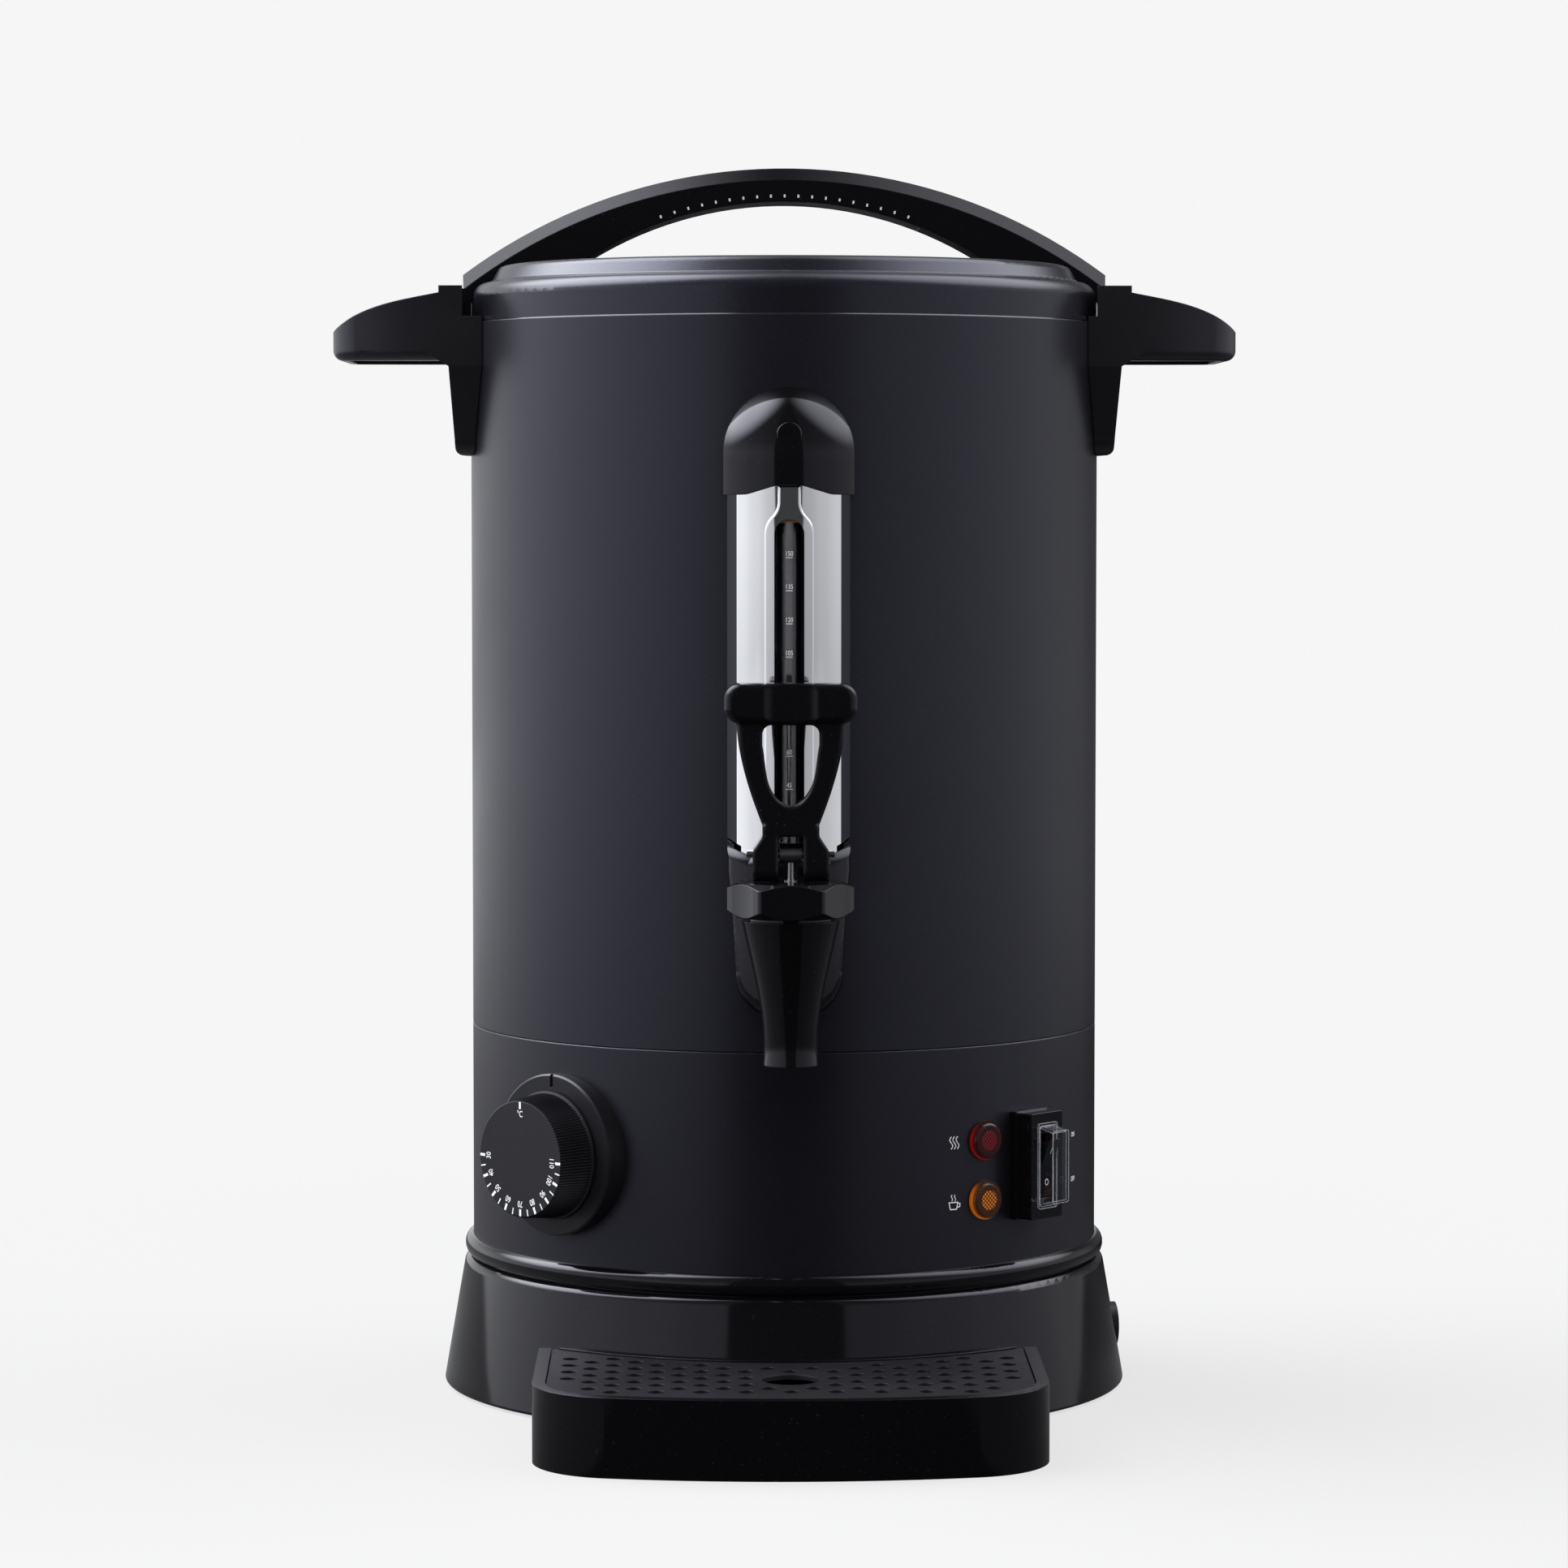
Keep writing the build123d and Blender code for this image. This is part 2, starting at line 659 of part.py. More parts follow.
with BuildPart() as tank:
    with BuildSketch(Plane.XZ):
        with BuildLine():
            Polyline(
                (tank_inner_radius, seam_height),
                (tank_inner_radius, tank_top - tank_sheet),
                (mouth_inner_radius, tank_top - tank_sheet),
                (mouth_inner_radius, neck_top),
                (bead_inner_radius, neck_top),
                (bead_inner_radius, bead_top),
                (bead_radius, bead_top),
                (bead_radius, tank_top),
                (body_radius, tank_top),
                (body_radius, seam_height),
                close=True,
            )
        make_face()
    revolve(axis=Axis.Z)
    fillet(rims(tank, body_radius, seam_height), tank_edge_round)
    fillet(rims(tank, body_radius, tank_top), tank_edge_round)
    with BuildSketch(facing(0, shank_height, body_radius + overrun)):
        Circle(shank_hole_radius)
    extrude(amount=-4 * overrun, mode=Mode.SUBTRACT)
    with BuildSketch(facing(0, cap_screw_height, body_radius + overrun)):
        Circle(cap_screw_radius + slip)
    extrude(amount=-4 * overrun, mode=Mode.SUBTRACT)
    for side in (-1, 1):
        for height in handle_screw_heights:
            with BuildSketch(Plane.YZ.offset(side * (body_radius + overrun))):
                with Locations((0, height)):
                    Circle(handle_screw_radius + slip)
            extrude(amount=-side * 4 * overrun, mode=Mode.SUBTRACT)
tank.part.label = "tank"
export_step(tank.part, "parts/tank.step")

bottom_radius = tank_inner_radius - slip
with BuildPart() as tank_bottom:
    with BuildSketch(Plane.XZ):
        with BuildLine():
            Polyline(
                (0, tank_floor + tank_sheet),
                (bottom_radius, tank_floor + tank_sheet),
                (bottom_radius, seam_height),
                (spigot_radius, seam_height),
                (spigot_radius, seam_height - spigot_length),
                (spigot_radius - tank_sheet, seam_height - spigot_length),
                (spigot_radius - tank_sheet, tank_floor),
                (0, tank_floor),
                close=True,
            )
        make_face()
    revolve(axis=Axis.Z)
tank_bottom.part.label = "tank_bottom"
export_step(tank_bottom.part, "parts/tank_bottom.step")

# Heating and control parts under the tank floor
element_radius = 62.0
element_tube_radius = 4.0
cutout_radius = 9.0
cutout_height = 8.0
bulb_radius = 3.0
bulb_length = 60.0
bulb_place = 95.0
block_length = 34.0
block_width = 18.0
block_height = 14.0
block_place = 70.0

with BuildPart() as heating_element:
    with BuildSketch(Plane.XZ):
        with Locations((element_radius, tank_floor - element_tube_radius)):
            Rectangle(2 * element_tube_radius, 2 * element_tube_radius)
    revolve(axis=Axis.Z)
    with BuildSketch(Plane.XY.offset(tank_floor)):
        with Locations((element_radius, 0)):
            Rectangle(4 * element_tube_radius, 2 * element_tube_radius)
    extrude(amount=-4 * element_tube_radius)
heating_element.part.label = "heating_element"
export_step(heating_element.part, "parts/heating_element.step")

with BuildPart() as dry_boil_cutout:
    with BuildSketch(Plane.XY.offset(tank_floor)):
        Circle(cutout_radius)
    extrude(amount=-cutout_height)
dry_boil_cutout.part.label = "dry_boil_cutout"
export_step(dry_boil_cutout.part, "parts/dry_boil_cutout.step")

with BuildPart() as thermostat_bulb:
    with BuildSketch(Plane.YZ):
        with Locations((-bulb_place, tank_floor - bulb_radius)):
            Circle(bulb_radius)
    extrude(amount=bulb_length / 2, both=True)
thermostat_bulb.part.label = "thermostat_bulb"
export_step(thermostat_bulb.part, "parts/thermostat_bulb.step")

with BuildPart() as terminal_block:
    with BuildSketch(Plane.XY.offset(plate_top)):
        with Locations((block_place, 0)):
            Rectangle(block_width, block_length)
    extrude(amount=block_height)
terminal_block.part.label = "terminal_block"
export_step(terminal_block.part, "parts/terminal_block.step")

# Tap body: a tapered spout with the valve chamber in it, and the shank behind
spout_bottom = 163.6
spout_radius = 11.5
spout_waist = 172.0
spout_waist_radius = 11.1
spout_belly = 195.1
spout_belly_radius = 13.9
chamber_flange = 223.6
chamber_flange_radius = 20.3
neck_radius = 17.5
tap_neck_top = 233.0
chamber_radius = 13.0
seat_drop = 20.6
throat_radius = 6.5
outlet_radius = 8.5
outlet_depth = 14.0
bonnet_bottom = 225.0
bonnet_top = 239.5
bonnet_turn = -90.0
bonnet_corner_round = 2.4
bonnet_scallop_radius = 90.0
bonnet_scallop_depth = 0.4
bonnet_top_bevel = 2.6
bonnet_bottom_bevel = 3.2
bonnet_low_reach = 22.2
bonnet_high_reach = 21.8
stem_radius = 2.7
stem_set = 3.0
stem_eye_radius = 4.4
stem_eye_width = 9.2
cup_radius = 11.5
cup_depth = 12.0
pin_height = 251.0
pin_radius = 1.6
pin_length = 36.4
spring_radius = 7.4
spring_wire = 0.7
spring_turns = 6
lever_foot_gap = 0.3
lever_foot_half_width = 15.7
lever_foot_half_depth = 8.0
lever_foot_round = 4.0
lever_slot_half_width = 5.3
lever_slot_top = 258.5
lever_shoulder = 252.6
lever_shoulder_round = 3.0
lever_neck = 258.6
lever_waist = 263.0
lever_waist_half_width = 11.7
lever_leg_half_depth = 5.5
lever_leg_edge_round = 1.6
lever_leg_low = 273.2
lever_leg_low_half_width = 15.5
lever_leg_high = 289.5
lever_leg_high_half_width = 20.2
lever_leg_top_half_width = 22.4
lever_window_bottom = 270.7
lever_window_low = 275.5
lever_window_low_half_width = 6.9
lever_window_middle = 284.1
lever_window_middle_half_width = 10.0
lever_window_high = 296.0
lever_window_high_half_width = 11.7
lever_window_top = 304.3
lever_window_round = 3.8
lever_bar_bottom = 305.0
lever_bar_top = 321.5
lever_bar_half_width = 27.4
lever_bar_half_depth = 7.5
lever_bar_round = 6.5
lever_bar_edge_round = 3.0
lever_dish_radius = 46.0
lever_dish_depth = 1.4
lever_foot = bonnet_top + lever_foot_gap
seat_height = chamber_flange - seat_drop
stem_bottom = seat_height + stem_set
cup_top = seat_height + cup_depth

with BuildPart() as tap_body:
    with BuildSketch(Plane.XZ.offset(tap_reach)):
        with BuildLine():
            Polyline(
                (chamber_flange_radius, chamber_flange),
                (neck_radius, chamber_flange),
                (neck_radius, tap_neck_top),
                (0, tap_neck_top),
                (0, spout_bottom),
                (spout_radius, spout_bottom),
            )
            Spline(
                (spout_radius, spout_bottom),
                (spout_waist_radius, spout_waist),
                (spout_belly_radius, spout_belly),
                (chamber_flange_radius, chamber_flange),
            )
        make_face()
    revolve(axis=Axis((0, -tap_reach, 0), (0, 0, 1)))
    with BuildSketch(facing(0, shank_height, tap_reach)):
        Circle(shank_radius)
    extrude(amount=shank_inner_reach - tap_reach)
    with BuildSketch(facing(0, shank_height, lower_cap_reach)):
        Circle(shank_collar_radius)
    extrude(amount=shank_collar_length)
    with BuildSketch(facing(0, shank_height, tap_reach)):
        Circle(shank_bore)
    extrude(amount=shank_inner_reach - overrun - tap_reach, mode=Mode.SUBTRACT)
    with BuildSketch(Plane.XY.offset(spout_bottom)):
        with Locations((0, -tap_reach)):
            Circle(outlet_radius)
    extrude(amount=outlet_depth, mode=Mode.SUBTRACT)
    with BuildSketch(Plane.XY.offset(spout_bottom)):
        with Locations((0, -tap_reach)):
            Circle(throat_radius)
    extrude(amount=seat_height - spout_bottom, mode=Mode.SUBTRACT)
    with BuildSketch(Plane.XY.offset(seat_height)):
        with Locations((0, -tap_reach)):
            Circle(chamber_radius)
    extrude(amount=tap_neck_top - seat_height, mode=Mode.SUBTRACT)
    with BuildSketch(Plane.XY.offset(shank_height)):
        with Locations((0, -gauge_reach)):
            Circle(tube_radius - tube_wall)
    extrude(amount=shank_radius, mode=Mode.SUBTRACT)
tap_body.part.label = "tap_body"
export_step(tap_body.part, "parts/tap_body.step")

with BuildPart() as tap_washers:
    with BuildSketch(facing(0, shank_height, outer_washer_reach + washer_sheet)):
        Circle(washer_radius)
        Circle(shank_hole_radius, mode=Mode.SUBTRACT)
    extrude(amount=-washer_sheet - 2 * washer_sag)
    with BuildSketch(Plane.XY.offset(shank_height)):
        Circle(body_radius + slip)
    extrude(amount=2 * washer_radius, both=True, mode=Mode.SUBTRACT)
    with BuildSketch(facing(0, shank_height, inner_washer_reach)):
        Circle(washer_radius)
        Circle(shank_hole_radius, mode=Mode.SUBTRACT)
    extrude(amount=-washer_sheet)
tap_washers.part.label = "tap_washers"
export_step(tap_washers.part, "parts/tap_washers.step")

with BuildPart() as tap_nut:
    with BuildSketch(facing(0, shank_height, inner_washer_reach - washer_sheet)):
        RegularPolygon(tap_nut_radius, 6)
        Circle(shank_hole_radius, mode=Mode.SUBTRACT)
    extrude(amount=-tap_nut_height)
tap_nut.part.label = "tap_nut"
export_step(tap_nut.part, "parts/tap_nut.step")

with BuildPart() as tap_bonnet:
    with BuildSketch(Plane.XY.offset(bonnet_bottom)) as bonnet_plan:
        with Locations((0, -tap_reach)):
            RegularPolygon(bonnet_radius, bonnet_sides, rotation=bonnet_turn + 180 / bonnet_sides)
        fillet(bonnet_plan.vertices(), bonnet_corner_round)
        with Locations((0, -tap_reach)):
            with PolarLocations(
                bonnet_flat_reach + bonnet_scallop_radius - bonnet_scallop_depth,
                bonnet_sides,
                start_angle=bonnet_turn,
            ):
                Circle(bonnet_scallop_radius, mode=Mode.SUBTRACT)
    extrude(amount=bonnet_top - bonnet_bottom)
    with BuildSketch(Plane.YZ):
        with BuildLine():
            Polyline(
                (-tap_reach, bonnet_bottom),
                (-tap_reach - bonnet_low_reach, bonnet_bottom),
                (-tap_reach - bonnet_radius, bonnet_bottom + bonnet_bottom_bevel),
                (-tap_reach - bonnet_radius, bonnet_top - bonnet_top_bevel),
                (-tap_reach - bonnet_high_reach, bonnet_top),
                (-tap_reach, bonnet_top),
                close=True,
            )
        make_face()
    revolve(axis=Axis((0, -tap_reach, 0), (0, 0, 1)), mode=Mode.INTERSECT)
    with BuildSketch(Plane.XY.offset(bonnet_bottom)):
        with Locations((0, -tap_reach)):
            Circle(neck_radius + slip)
    extrude(amount=tap_neck_top - bonnet_bottom, mode=Mode.SUBTRACT)
    with BuildSketch(Plane.XY.offset(tap_neck_top)):
        with Locations((0, -tap_reach)):
            Circle(stem_radius + running)
    extrude(amount=bonnet_top - tap_neck_top, mode=Mode.SUBTRACT)
tap_bonnet.part.label = "tap_bonnet"
export_step(tap_bonnet.part, "parts/tap_bonnet.step")

with BuildPart() as tap_stem:
    with BuildSketch(Plane.XY.offset(stem_bottom)):
        with Locations((0, -tap_reach)):
            Circle(stem_radius)
    extrude(amount=pin_height - stem_bottom)
    with BuildSketch(Plane.YZ):
        with Locations((-tap_reach, pin_height)):
            Circle(stem_eye_radius)
    extrude(amount=stem_eye_width / 2, both=True)
    with BuildSketch(Plane.YZ):
        with Locations((-tap_reach, pin_height)):
            Circle(pin_radius + running)
    extrude(amount=stem_eye_width, both=True, mode=Mode.SUBTRACT)
tap_stem.part.label = "tap_stem"
export_step(tap_stem.part, "parts/tap_stem.step")

with BuildPart() as tap_seat_cup:
    with BuildSketch(Plane.XY.offset(seat_height)):
        with Locations((0, -tap_reach)):
            Circle(cup_radius)
    extrude(amount=cup_top - seat_height)
    with BuildSketch(Plane.XY.offset(stem_bottom)):
        with Locations((0, -tap_reach)):
            Circle(stem_radius + slip)
    extrude(amount=cup_top - stem_bottom, mode=Mode.SUBTRACT)
tap_seat_cup.part.label = "tap_seat_cup"
export_step(tap_seat_cup.part, "parts/tap_seat_cup.step")

spring_bottom = cup_top + spring_wire
spring_length = tap_neck_top - cup_top - 2 * spring_wire
with BuildPart() as tap_spring:
    with BuildLine() as spring_path:
        Helix(
            pitch=spring_length / spring_turns,
            height=spring_length,
            radius=spring_radius,
            center=(0, -tap_reach, spring_bottom),
        )
    with BuildSketch(Plane(origin=spring_path.line @ 0, z_dir=spring_path.line % 0)):
        Circle(spring_wire)
    sweep(path=spring_path.line)
tap_spring.part.label = "tap_spring"
export_step(tap_spring.part, "parts/tap_spring.step")

with BuildPart() as tap_pin:
    with BuildSketch(Plane.YZ):
        with Locations((-tap_reach, pin_height)):
            Circle(pin_radius)
    extrude(amount=pin_length / 2, both=True)
tap_pin.part.label = "tap_pin"
export_step(tap_pin.part, "parts/tap_pin.step")

# Lever: a bar for the hand on two spreading legs, over a forked foot on the pin
lever_plane = Plane.XZ.offset(tap_reach)
bar_middle = (lever_bar_bottom + lever_bar_top) / 2
with BuildPart() as tap_lever:
    with BuildSketch(lever_plane):
        with BuildLine():
            Spline(
                (-lever_waist_half_width, lever_waist),
                (-lever_leg_low_half_width, lever_leg_low),
                (-lever_leg_high_half_width, lever_leg_high),
                (-lever_leg_top_half_width, lever_bar_bottom),
            )
            Polyline(
                (-lever_leg_top_half_width, lever_bar_bottom),
                (-lever_leg_top_half_width, bar_middle),
                (lever_leg_top_half_width, bar_middle),
                (lever_leg_top_half_width, lever_bar_bottom),
            )
            Spline(
                (lever_leg_top_half_width, lever_bar_bottom),
                (lever_leg_high_half_width, lever_leg_high),
                (lever_leg_low_half_width, lever_leg_low),
                (lever_waist_half_width, lever_waist),
            )
            Polyline(
                (lever_waist_half_width, lever_waist),
                (lever_waist_half_width, lever_neck),
                (-lever_waist_half_width, lever_neck),
                (-lever_waist_half_width, lever_waist),
            )
        make_face()
        with BuildLine():
            Spline(
                (-lever_window_high_half_width, lever_window_high),
                (-lever_window_middle_half_width, lever_window_middle),
                (-lever_window_low_half_width, lever_window_low),
                (0, lever_window_bottom),
                (lever_window_low_half_width, lever_window_low),
                (lever_window_middle_half_width, lever_window_middle),
                (lever_window_high_half_width, lever_window_high),
            )
            Polyline(
                (lever_window_high_half_width, lever_window_high),
                (lever_window_high_half_width, lever_window_top),
                (-lever_window_high_half_width, lever_window_top),
                (-lever_window_high_half_width, lever_window_high),
            )
        window = make_face(mode=Mode.PRIVATE)
        add(window.face().fillet_2d(lever_window_round, window.vertices().group_by(Axis.Y)[-1]), mode=Mode.SUBTRACT)
    extrude(amount=lever_leg_half_depth, both=True)
    for leg_face in tap_lever.faces().filter_by(Axis.Y):
        outline = leg_face.outer_wire().edges()
        fillet(outline, lever_leg_edge_round)
    with BuildSketch(lever_plane):
        with Locations((0, bar_middle)):
            RectangleRounded(
                2 * lever_bar_half_width, lever_bar_top - lever_bar_bottom, lever_bar_round
            )
    extrude(amount=lever_bar_half_depth, both=True)
    bar_faces = tap_lever.faces().filter_by(Axis.Y).sort_by(Axis.Y)
    fillet(bar_faces[0].edges() + bar_faces[-1].edges(), lever_bar_edge_round)
    with BuildSketch(Plane.XY.offset(lever_bar_bottom - overrun)):
        with Locations((0, -tap_reach - lever_bar_half_depth - lever_dish_radius + lever_dish_depth)):
            Circle(lever_dish_radius)
    extrude(amount=lever_bar_top - lever_bar_bottom + 2 * overrun, mode=Mode.SUBTRACT)
    with BuildSketch(lever_plane):
        with BuildLine():
            FilletPolyline(
                (-lever_foot_half_width, lever_foot),
                (lever_foot_half_width, lever_foot),
                (lever_foot_half_width, lever_shoulder),
                (lever_waist_half_width, lever_neck),
                (lever_waist_half_width, lever_waist),
                (-lever_waist_half_width, lever_waist),
                (-lever_waist_half_width, lever_neck),
                (-lever_foot_half_width, lever_shoulder),
                radius=[
                    0,
                    0,
                    lever_shoulder_round,
                    lever_shoulder_round,
                    0,
                    0,
                    lever_shoulder_round,
                    lever_shoulder_round,
                ],
                close=True,
            )
        make_face()
    extrude(amount=lever_foot_half_depth, both=True)
    low_edges = tap_lever.edges().filter_by(Axis.X).group_by(Axis.Z)[0]
    fillet(low_edges, lever_foot_round)
    with BuildSketch(lever_plane):
        with Locations((0, lever_slot_top)):
            Rectangle(
                2 * lever_slot_half_width,
                lever_slot_top - lever_foot + overrun,
                align=(Align.CENTER, Align.MAX),
            )
    extrude(amount=2 * lever_foot_half_depth, both=True, mode=Mode.SUBTRACT)
    with BuildSketch(Plane.YZ):
        with Locations((-tap_reach, pin_height)):
            Circle(pin_radius + running)
    extrude(amount=pin_length, both=True, mode=Mode.SUBTRACT)
tap_lever.part.label = "tap_lever"
export_step(tap_lever.part, "parts/tap_lever.step")

# Gauge block: the shank feeds the tube through it
with BuildPart() as gauge_fitting:
    with BuildSketch(Plane.XY.offset(fitting_bottom)):
        with Locations((0, -(fitting_reach + fitting_back_reach) / 2)):
            Rectangle(2 * fitting_half_width, fitting_reach - fitting_back_reach)
    extrude(amount=fitting_top - fitting_bottom)
    with BuildSketch(facing(0, shank_height, fitting_reach)):
        Circle(shank_hole_radius)
    extrude(amount=fitting_back_reach - fitting_reach, mode=Mode.SUBTRACT)
    with BuildSketch(Plane.XY.offset(fitting_top)):
        with Locations((0, -gauge_reach)):
            Circle(tube_radius + seal_wall)
    extrude(amount=tube_bottom - fitting_top, mode=Mode.SUBTRACT)
    with BuildSketch(Plane.XY.offset(fitting_top)):
        with Locations((0, -gauge_reach)):
            Circle(tube_radius - tube_wall)
    extrude(amount=shank_height - fitting_top, mode=Mode.SUBTRACT)
gauge_fitting.part.label = "gauge_fitting"
export_step(gauge_fitting.part, "parts/gauge_fitting.step")

with BuildPart() as gauge_tube:
    with BuildSketch(Plane.XY.offset(tube_bottom)):
        with Locations((0, -gauge_reach)):
            Circle(tube_radius)
            Circle(tube_radius - tube_wall, mode=Mode.SUBTRACT)
    extrude(amount=tube_top - tube_bottom)
gauge_tube.part.label = "gauge_tube"
export_step(gauge_tube.part, "parts/gauge_tube.step")

with BuildPart() as gauge_seals:
    with BuildSketch(Plane.XY.offset(tube_bottom)):
        with Locations((0, -gauge_reach)):
            Circle(tube_radius + seal_wall - slip)
            Circle(tube_radius + slip, mode=Mode.SUBTRACT)
    extrude(amount=lower_seal_height)
    with BuildSketch(Plane.XY.offset(tube_top)):
        with Locations((0, -upper_seal_reach)):
            Rectangle(
                2 * upper_seal_half_width,
                upper_seal_reach - outer_washer_reach,
                align=(Align.CENTER, Align.MIN),
            )
        add(
            cover_plan(upper_seal_reach, upper_seal_half_width, upper_seal_half_width),
            mode=Mode.INTERSECT,
        )
        Circle(outer_washer_reach, mode=Mode.SUBTRACT)
        with Locations((0, -gauge_reach)):
            Circle(tube_radius + slip, mode=Mode.SUBTRACT)
    extrude(amount=-upper_seal_height)
    with BuildSketch(Plane.XY.offset(tube_top)):
        with Locations((0, -upper_seal_reach)):
            Rectangle(
                2 * upper_seal_half_width,
                upper_seal_reach - outer_washer_reach,
                align=(Align.CENTER, Align.MIN),
            )
        add(
            cover_plan(upper_seal_reach, upper_seal_half_width, upper_seal_half_width),
            mode=Mode.INTERSECT,
        )
        Circle(outer_washer_reach, mode=Mode.SUBTRACT)
    extrude(amount=seal_wall)
gauge_seals.part.label = "gauge_seals"
export_step(gauge_seals.part, "parts/gauge_seals.step")

# Cover: a bowed channel with a slot that is open below and ringed by a raised lip
slot_round_height = slot_top - slot_width / 2


def slot_lip():
    """The slot's lip before the slot is cut: it follows the bow, with its front edges rounded."""
    lip_reach = cover_reach + slot_lip_proud
    lip_root = front_at(cover_reach, slot_lip_width / 2) - cover_sheet
    with BuildPart() as lip:
        with BuildSketch(facing(0, slot_round_height, lip_reach)) as outline:
            Circle(slot_lip_width / 2)
            Rectangle(
                slot_neck_width,
                cap_middle_bottom - slip - slot_round_height,
                align=(Align.CENTER, Align.MIN),
            )
            shoulders = outline.vertices().filter_by(
                lambda v: 0 < v.Y < slot_lip_width / 2 and abs(v.X) < slot_lip_width / 2 - touch
            )
            fillet(shoulders, slot_neck_round)
            Rectangle(
                slot_lip_width,
                slot_round_height - lower_cap_middle_top - slip,
                align=(Align.CENTER, Align.MAX),
            )
        extrude(amount=lip_root - lip_reach)
        with BuildSketch(Plane.XY.offset(cover_bottom)):
            add(cover_plan(lip_reach, cover_half_width, cover_half_width))
        extrude(amount=cover_top - cover_bottom, mode=Mode.INTERSECT)
        fillet(lip.faces().sort_by(Axis.Y)[0].edges(), slot_lip_round)
    return lip.part


with BuildPart() as gauge_cover:
    with BuildSketch(Plane.XY.offset(cover_bottom)):
        add(cover_plan(cover_reach, cover_front_half_width, cover_half_width))
    extrude(amount=cover_top - cover_bottom)
    fold_edges = gauge_cover.edges().filter_by(Axis.Z).group_by(Axis.Y)[0]
    fillet(fold_edges, cover_round)
    add(slot_lip())
    with BuildSketch(Plane.XY.offset(cover_bottom)):
        add(
            cover_plan(
                cover_reach - cover_sheet,
                cover_front_half_width - cover_sheet,
                cover_half_width - cover_sheet,
            )
        )
        Circle(body_radius + slip)
    extrude(amount=cover_top - cover_bottom, mode=Mode.SUBTRACT)
    with BuildSketch(facing(0, slot_round_height, cover_reach + overrun)):
        Circle(slot_width / 2)
        Rectangle(
            slot_width,
            slot_round_height - cover_bottom + overrun,
            align=(Align.CENTER, Align.MAX),
        )
    extrude(amount=-2 * overrun, mode=Mode.SUBTRACT)
    tongue_edge = lower_cap_slope_share * (cover_tongue_half_width - lower_cap_half_width)
    outer_edge = lower_cap_slope_share * overrun
    for side in (-1, 1):
        with BuildSketch(facing(0, lower_cap_side_top + slip, cover_reach + overrun)):
            with BuildLine():
                Polyline(
                    (side * cover_tongue_half_width, tongue_edge),
                    (side * (cover_half_width + overrun), outer_edge),
                    (side * (cover_half_width + overrun), cover_bottom - lower_cap_side_top - overrun),
                    (side * cover_tongue_half_width, cover_bottom - lower_cap_side_top - overrun),
                    close=True,
                )
            make_face()
        extrude(amount=-cover_reach, mode=Mode.SUBTRACT)
gauge_cover.part.label = "gauge_cover"
export_step(gauge_cover.part, "parts/gauge_cover.step")

# Upper cap: a domed shell that closes the cover and hides its screw
def cap_dome(reach):
    """A round post of the bow's radius under a half ball that meets the tank at the crown."""
    bow = cover_bow_radius + reach - cover_reach
    bow_axis = cover_reach - cover_bow_radius
    crown = cap_crown - cap_reach + reach
    ball_centre = crown - sqrt(bow**2 - (body_radius - bow_axis) ** 2)
    with BuildPart() as dome:
        with BuildSketch(Plane.XY.offset(cap_side_bottom - overrun)):
            with Locations((0, -bow_axis)):
                Circle(bow)
        extrude(amount=ball_centre - cap_side_bottom + overrun)
        with Locations((0, -bow_axis, ball_centre)):
            Sphere(bow)
    return dome.part


with BuildPart() as gauge_top_cap:
    with BuildSketch(Plane.XZ.offset(cap_reach)):
        with BuildLine():
            Polyline(
                (-cap_half_width, cap_crown - cap_half_width),
                (-cap_half_width, cap_side_bottom),
                (-cap_side_half_width, cap_side_bottom),
                (-cap_middle_half_width, cap_middle_bottom),
                (cap_middle_half_width, cap_middle_bottom),
                (cap_side_half_width, cap_side_bottom),
                (cap_half_width, cap_side_bottom),
                (cap_half_width, cap_crown - cap_half_width),
            )
            ThreePointArc(
                (cap_half_width, cap_crown - cap_half_width),
                (0, cap_crown),
                (-cap_half_width, cap_crown - cap_half_width),
            )
        cap_outline = make_face()
        bends = cap_outline.vertices().filter_by(lambda v: abs(v.X) < cap_side_half_width + touch)
        fillet(bends, cap_edge_bend)
    extrude(amount=-cap_reach / 2)
    with BuildSketch(Plane.XY.offset(cap_side_bottom)):
        add(cover_plan(cap_reach, cap_half_width, cap_half_width))
    extrude(amount=cap_crown - cap_side_bottom, mode=Mode.INTERSECT)
    add(cap_dome(cap_reach), mode=Mode.INTERSECT)
    core_half_width = cover_half_width + slip
    core_centre = cap_crown - cap_half_width
    with BuildSketch(facing(0, core_centre, cover_reach + slip), mode=Mode.PRIVATE) as arch:
        Circle(core_half_width)
        Rectangle(2 * core_half_width, cap_half_width, align=(Align.CENTER, Align.MAX))
    arch_core = extrude(arch.sketch, amount=-cap_reach / 2, mode=Mode.PRIVATE)
    add(arch_core & cap_dome(cover_reach + slip), mode=Mode.SUBTRACT)
    with BuildSketch(facing(0, cap_screw_height, cap_reach - cap_wall)):
        Circle(cap_boss_radius)
    extrude(amount=-cap_reach / 2)
    with BuildSketch(Plane.XY.offset(cap_side_bottom)):
        Circle(body_radius + slip)
    extrude(amount=cap_crown - cap_side_bottom, mode=Mode.SUBTRACT)
    with BuildSketch(facing(0, cap_screw_height, body_radius + cap_screw_length)):
        Circle(cap_screw_radius + slip)
    extrude(amount=-2 * cap_screw_length, mode=Mode.SUBTRACT)
gauge_top_cap.part.label = "gauge_top_cap"
export_step(gauge_top_cap.part, "parts/gauge_top_cap.step")

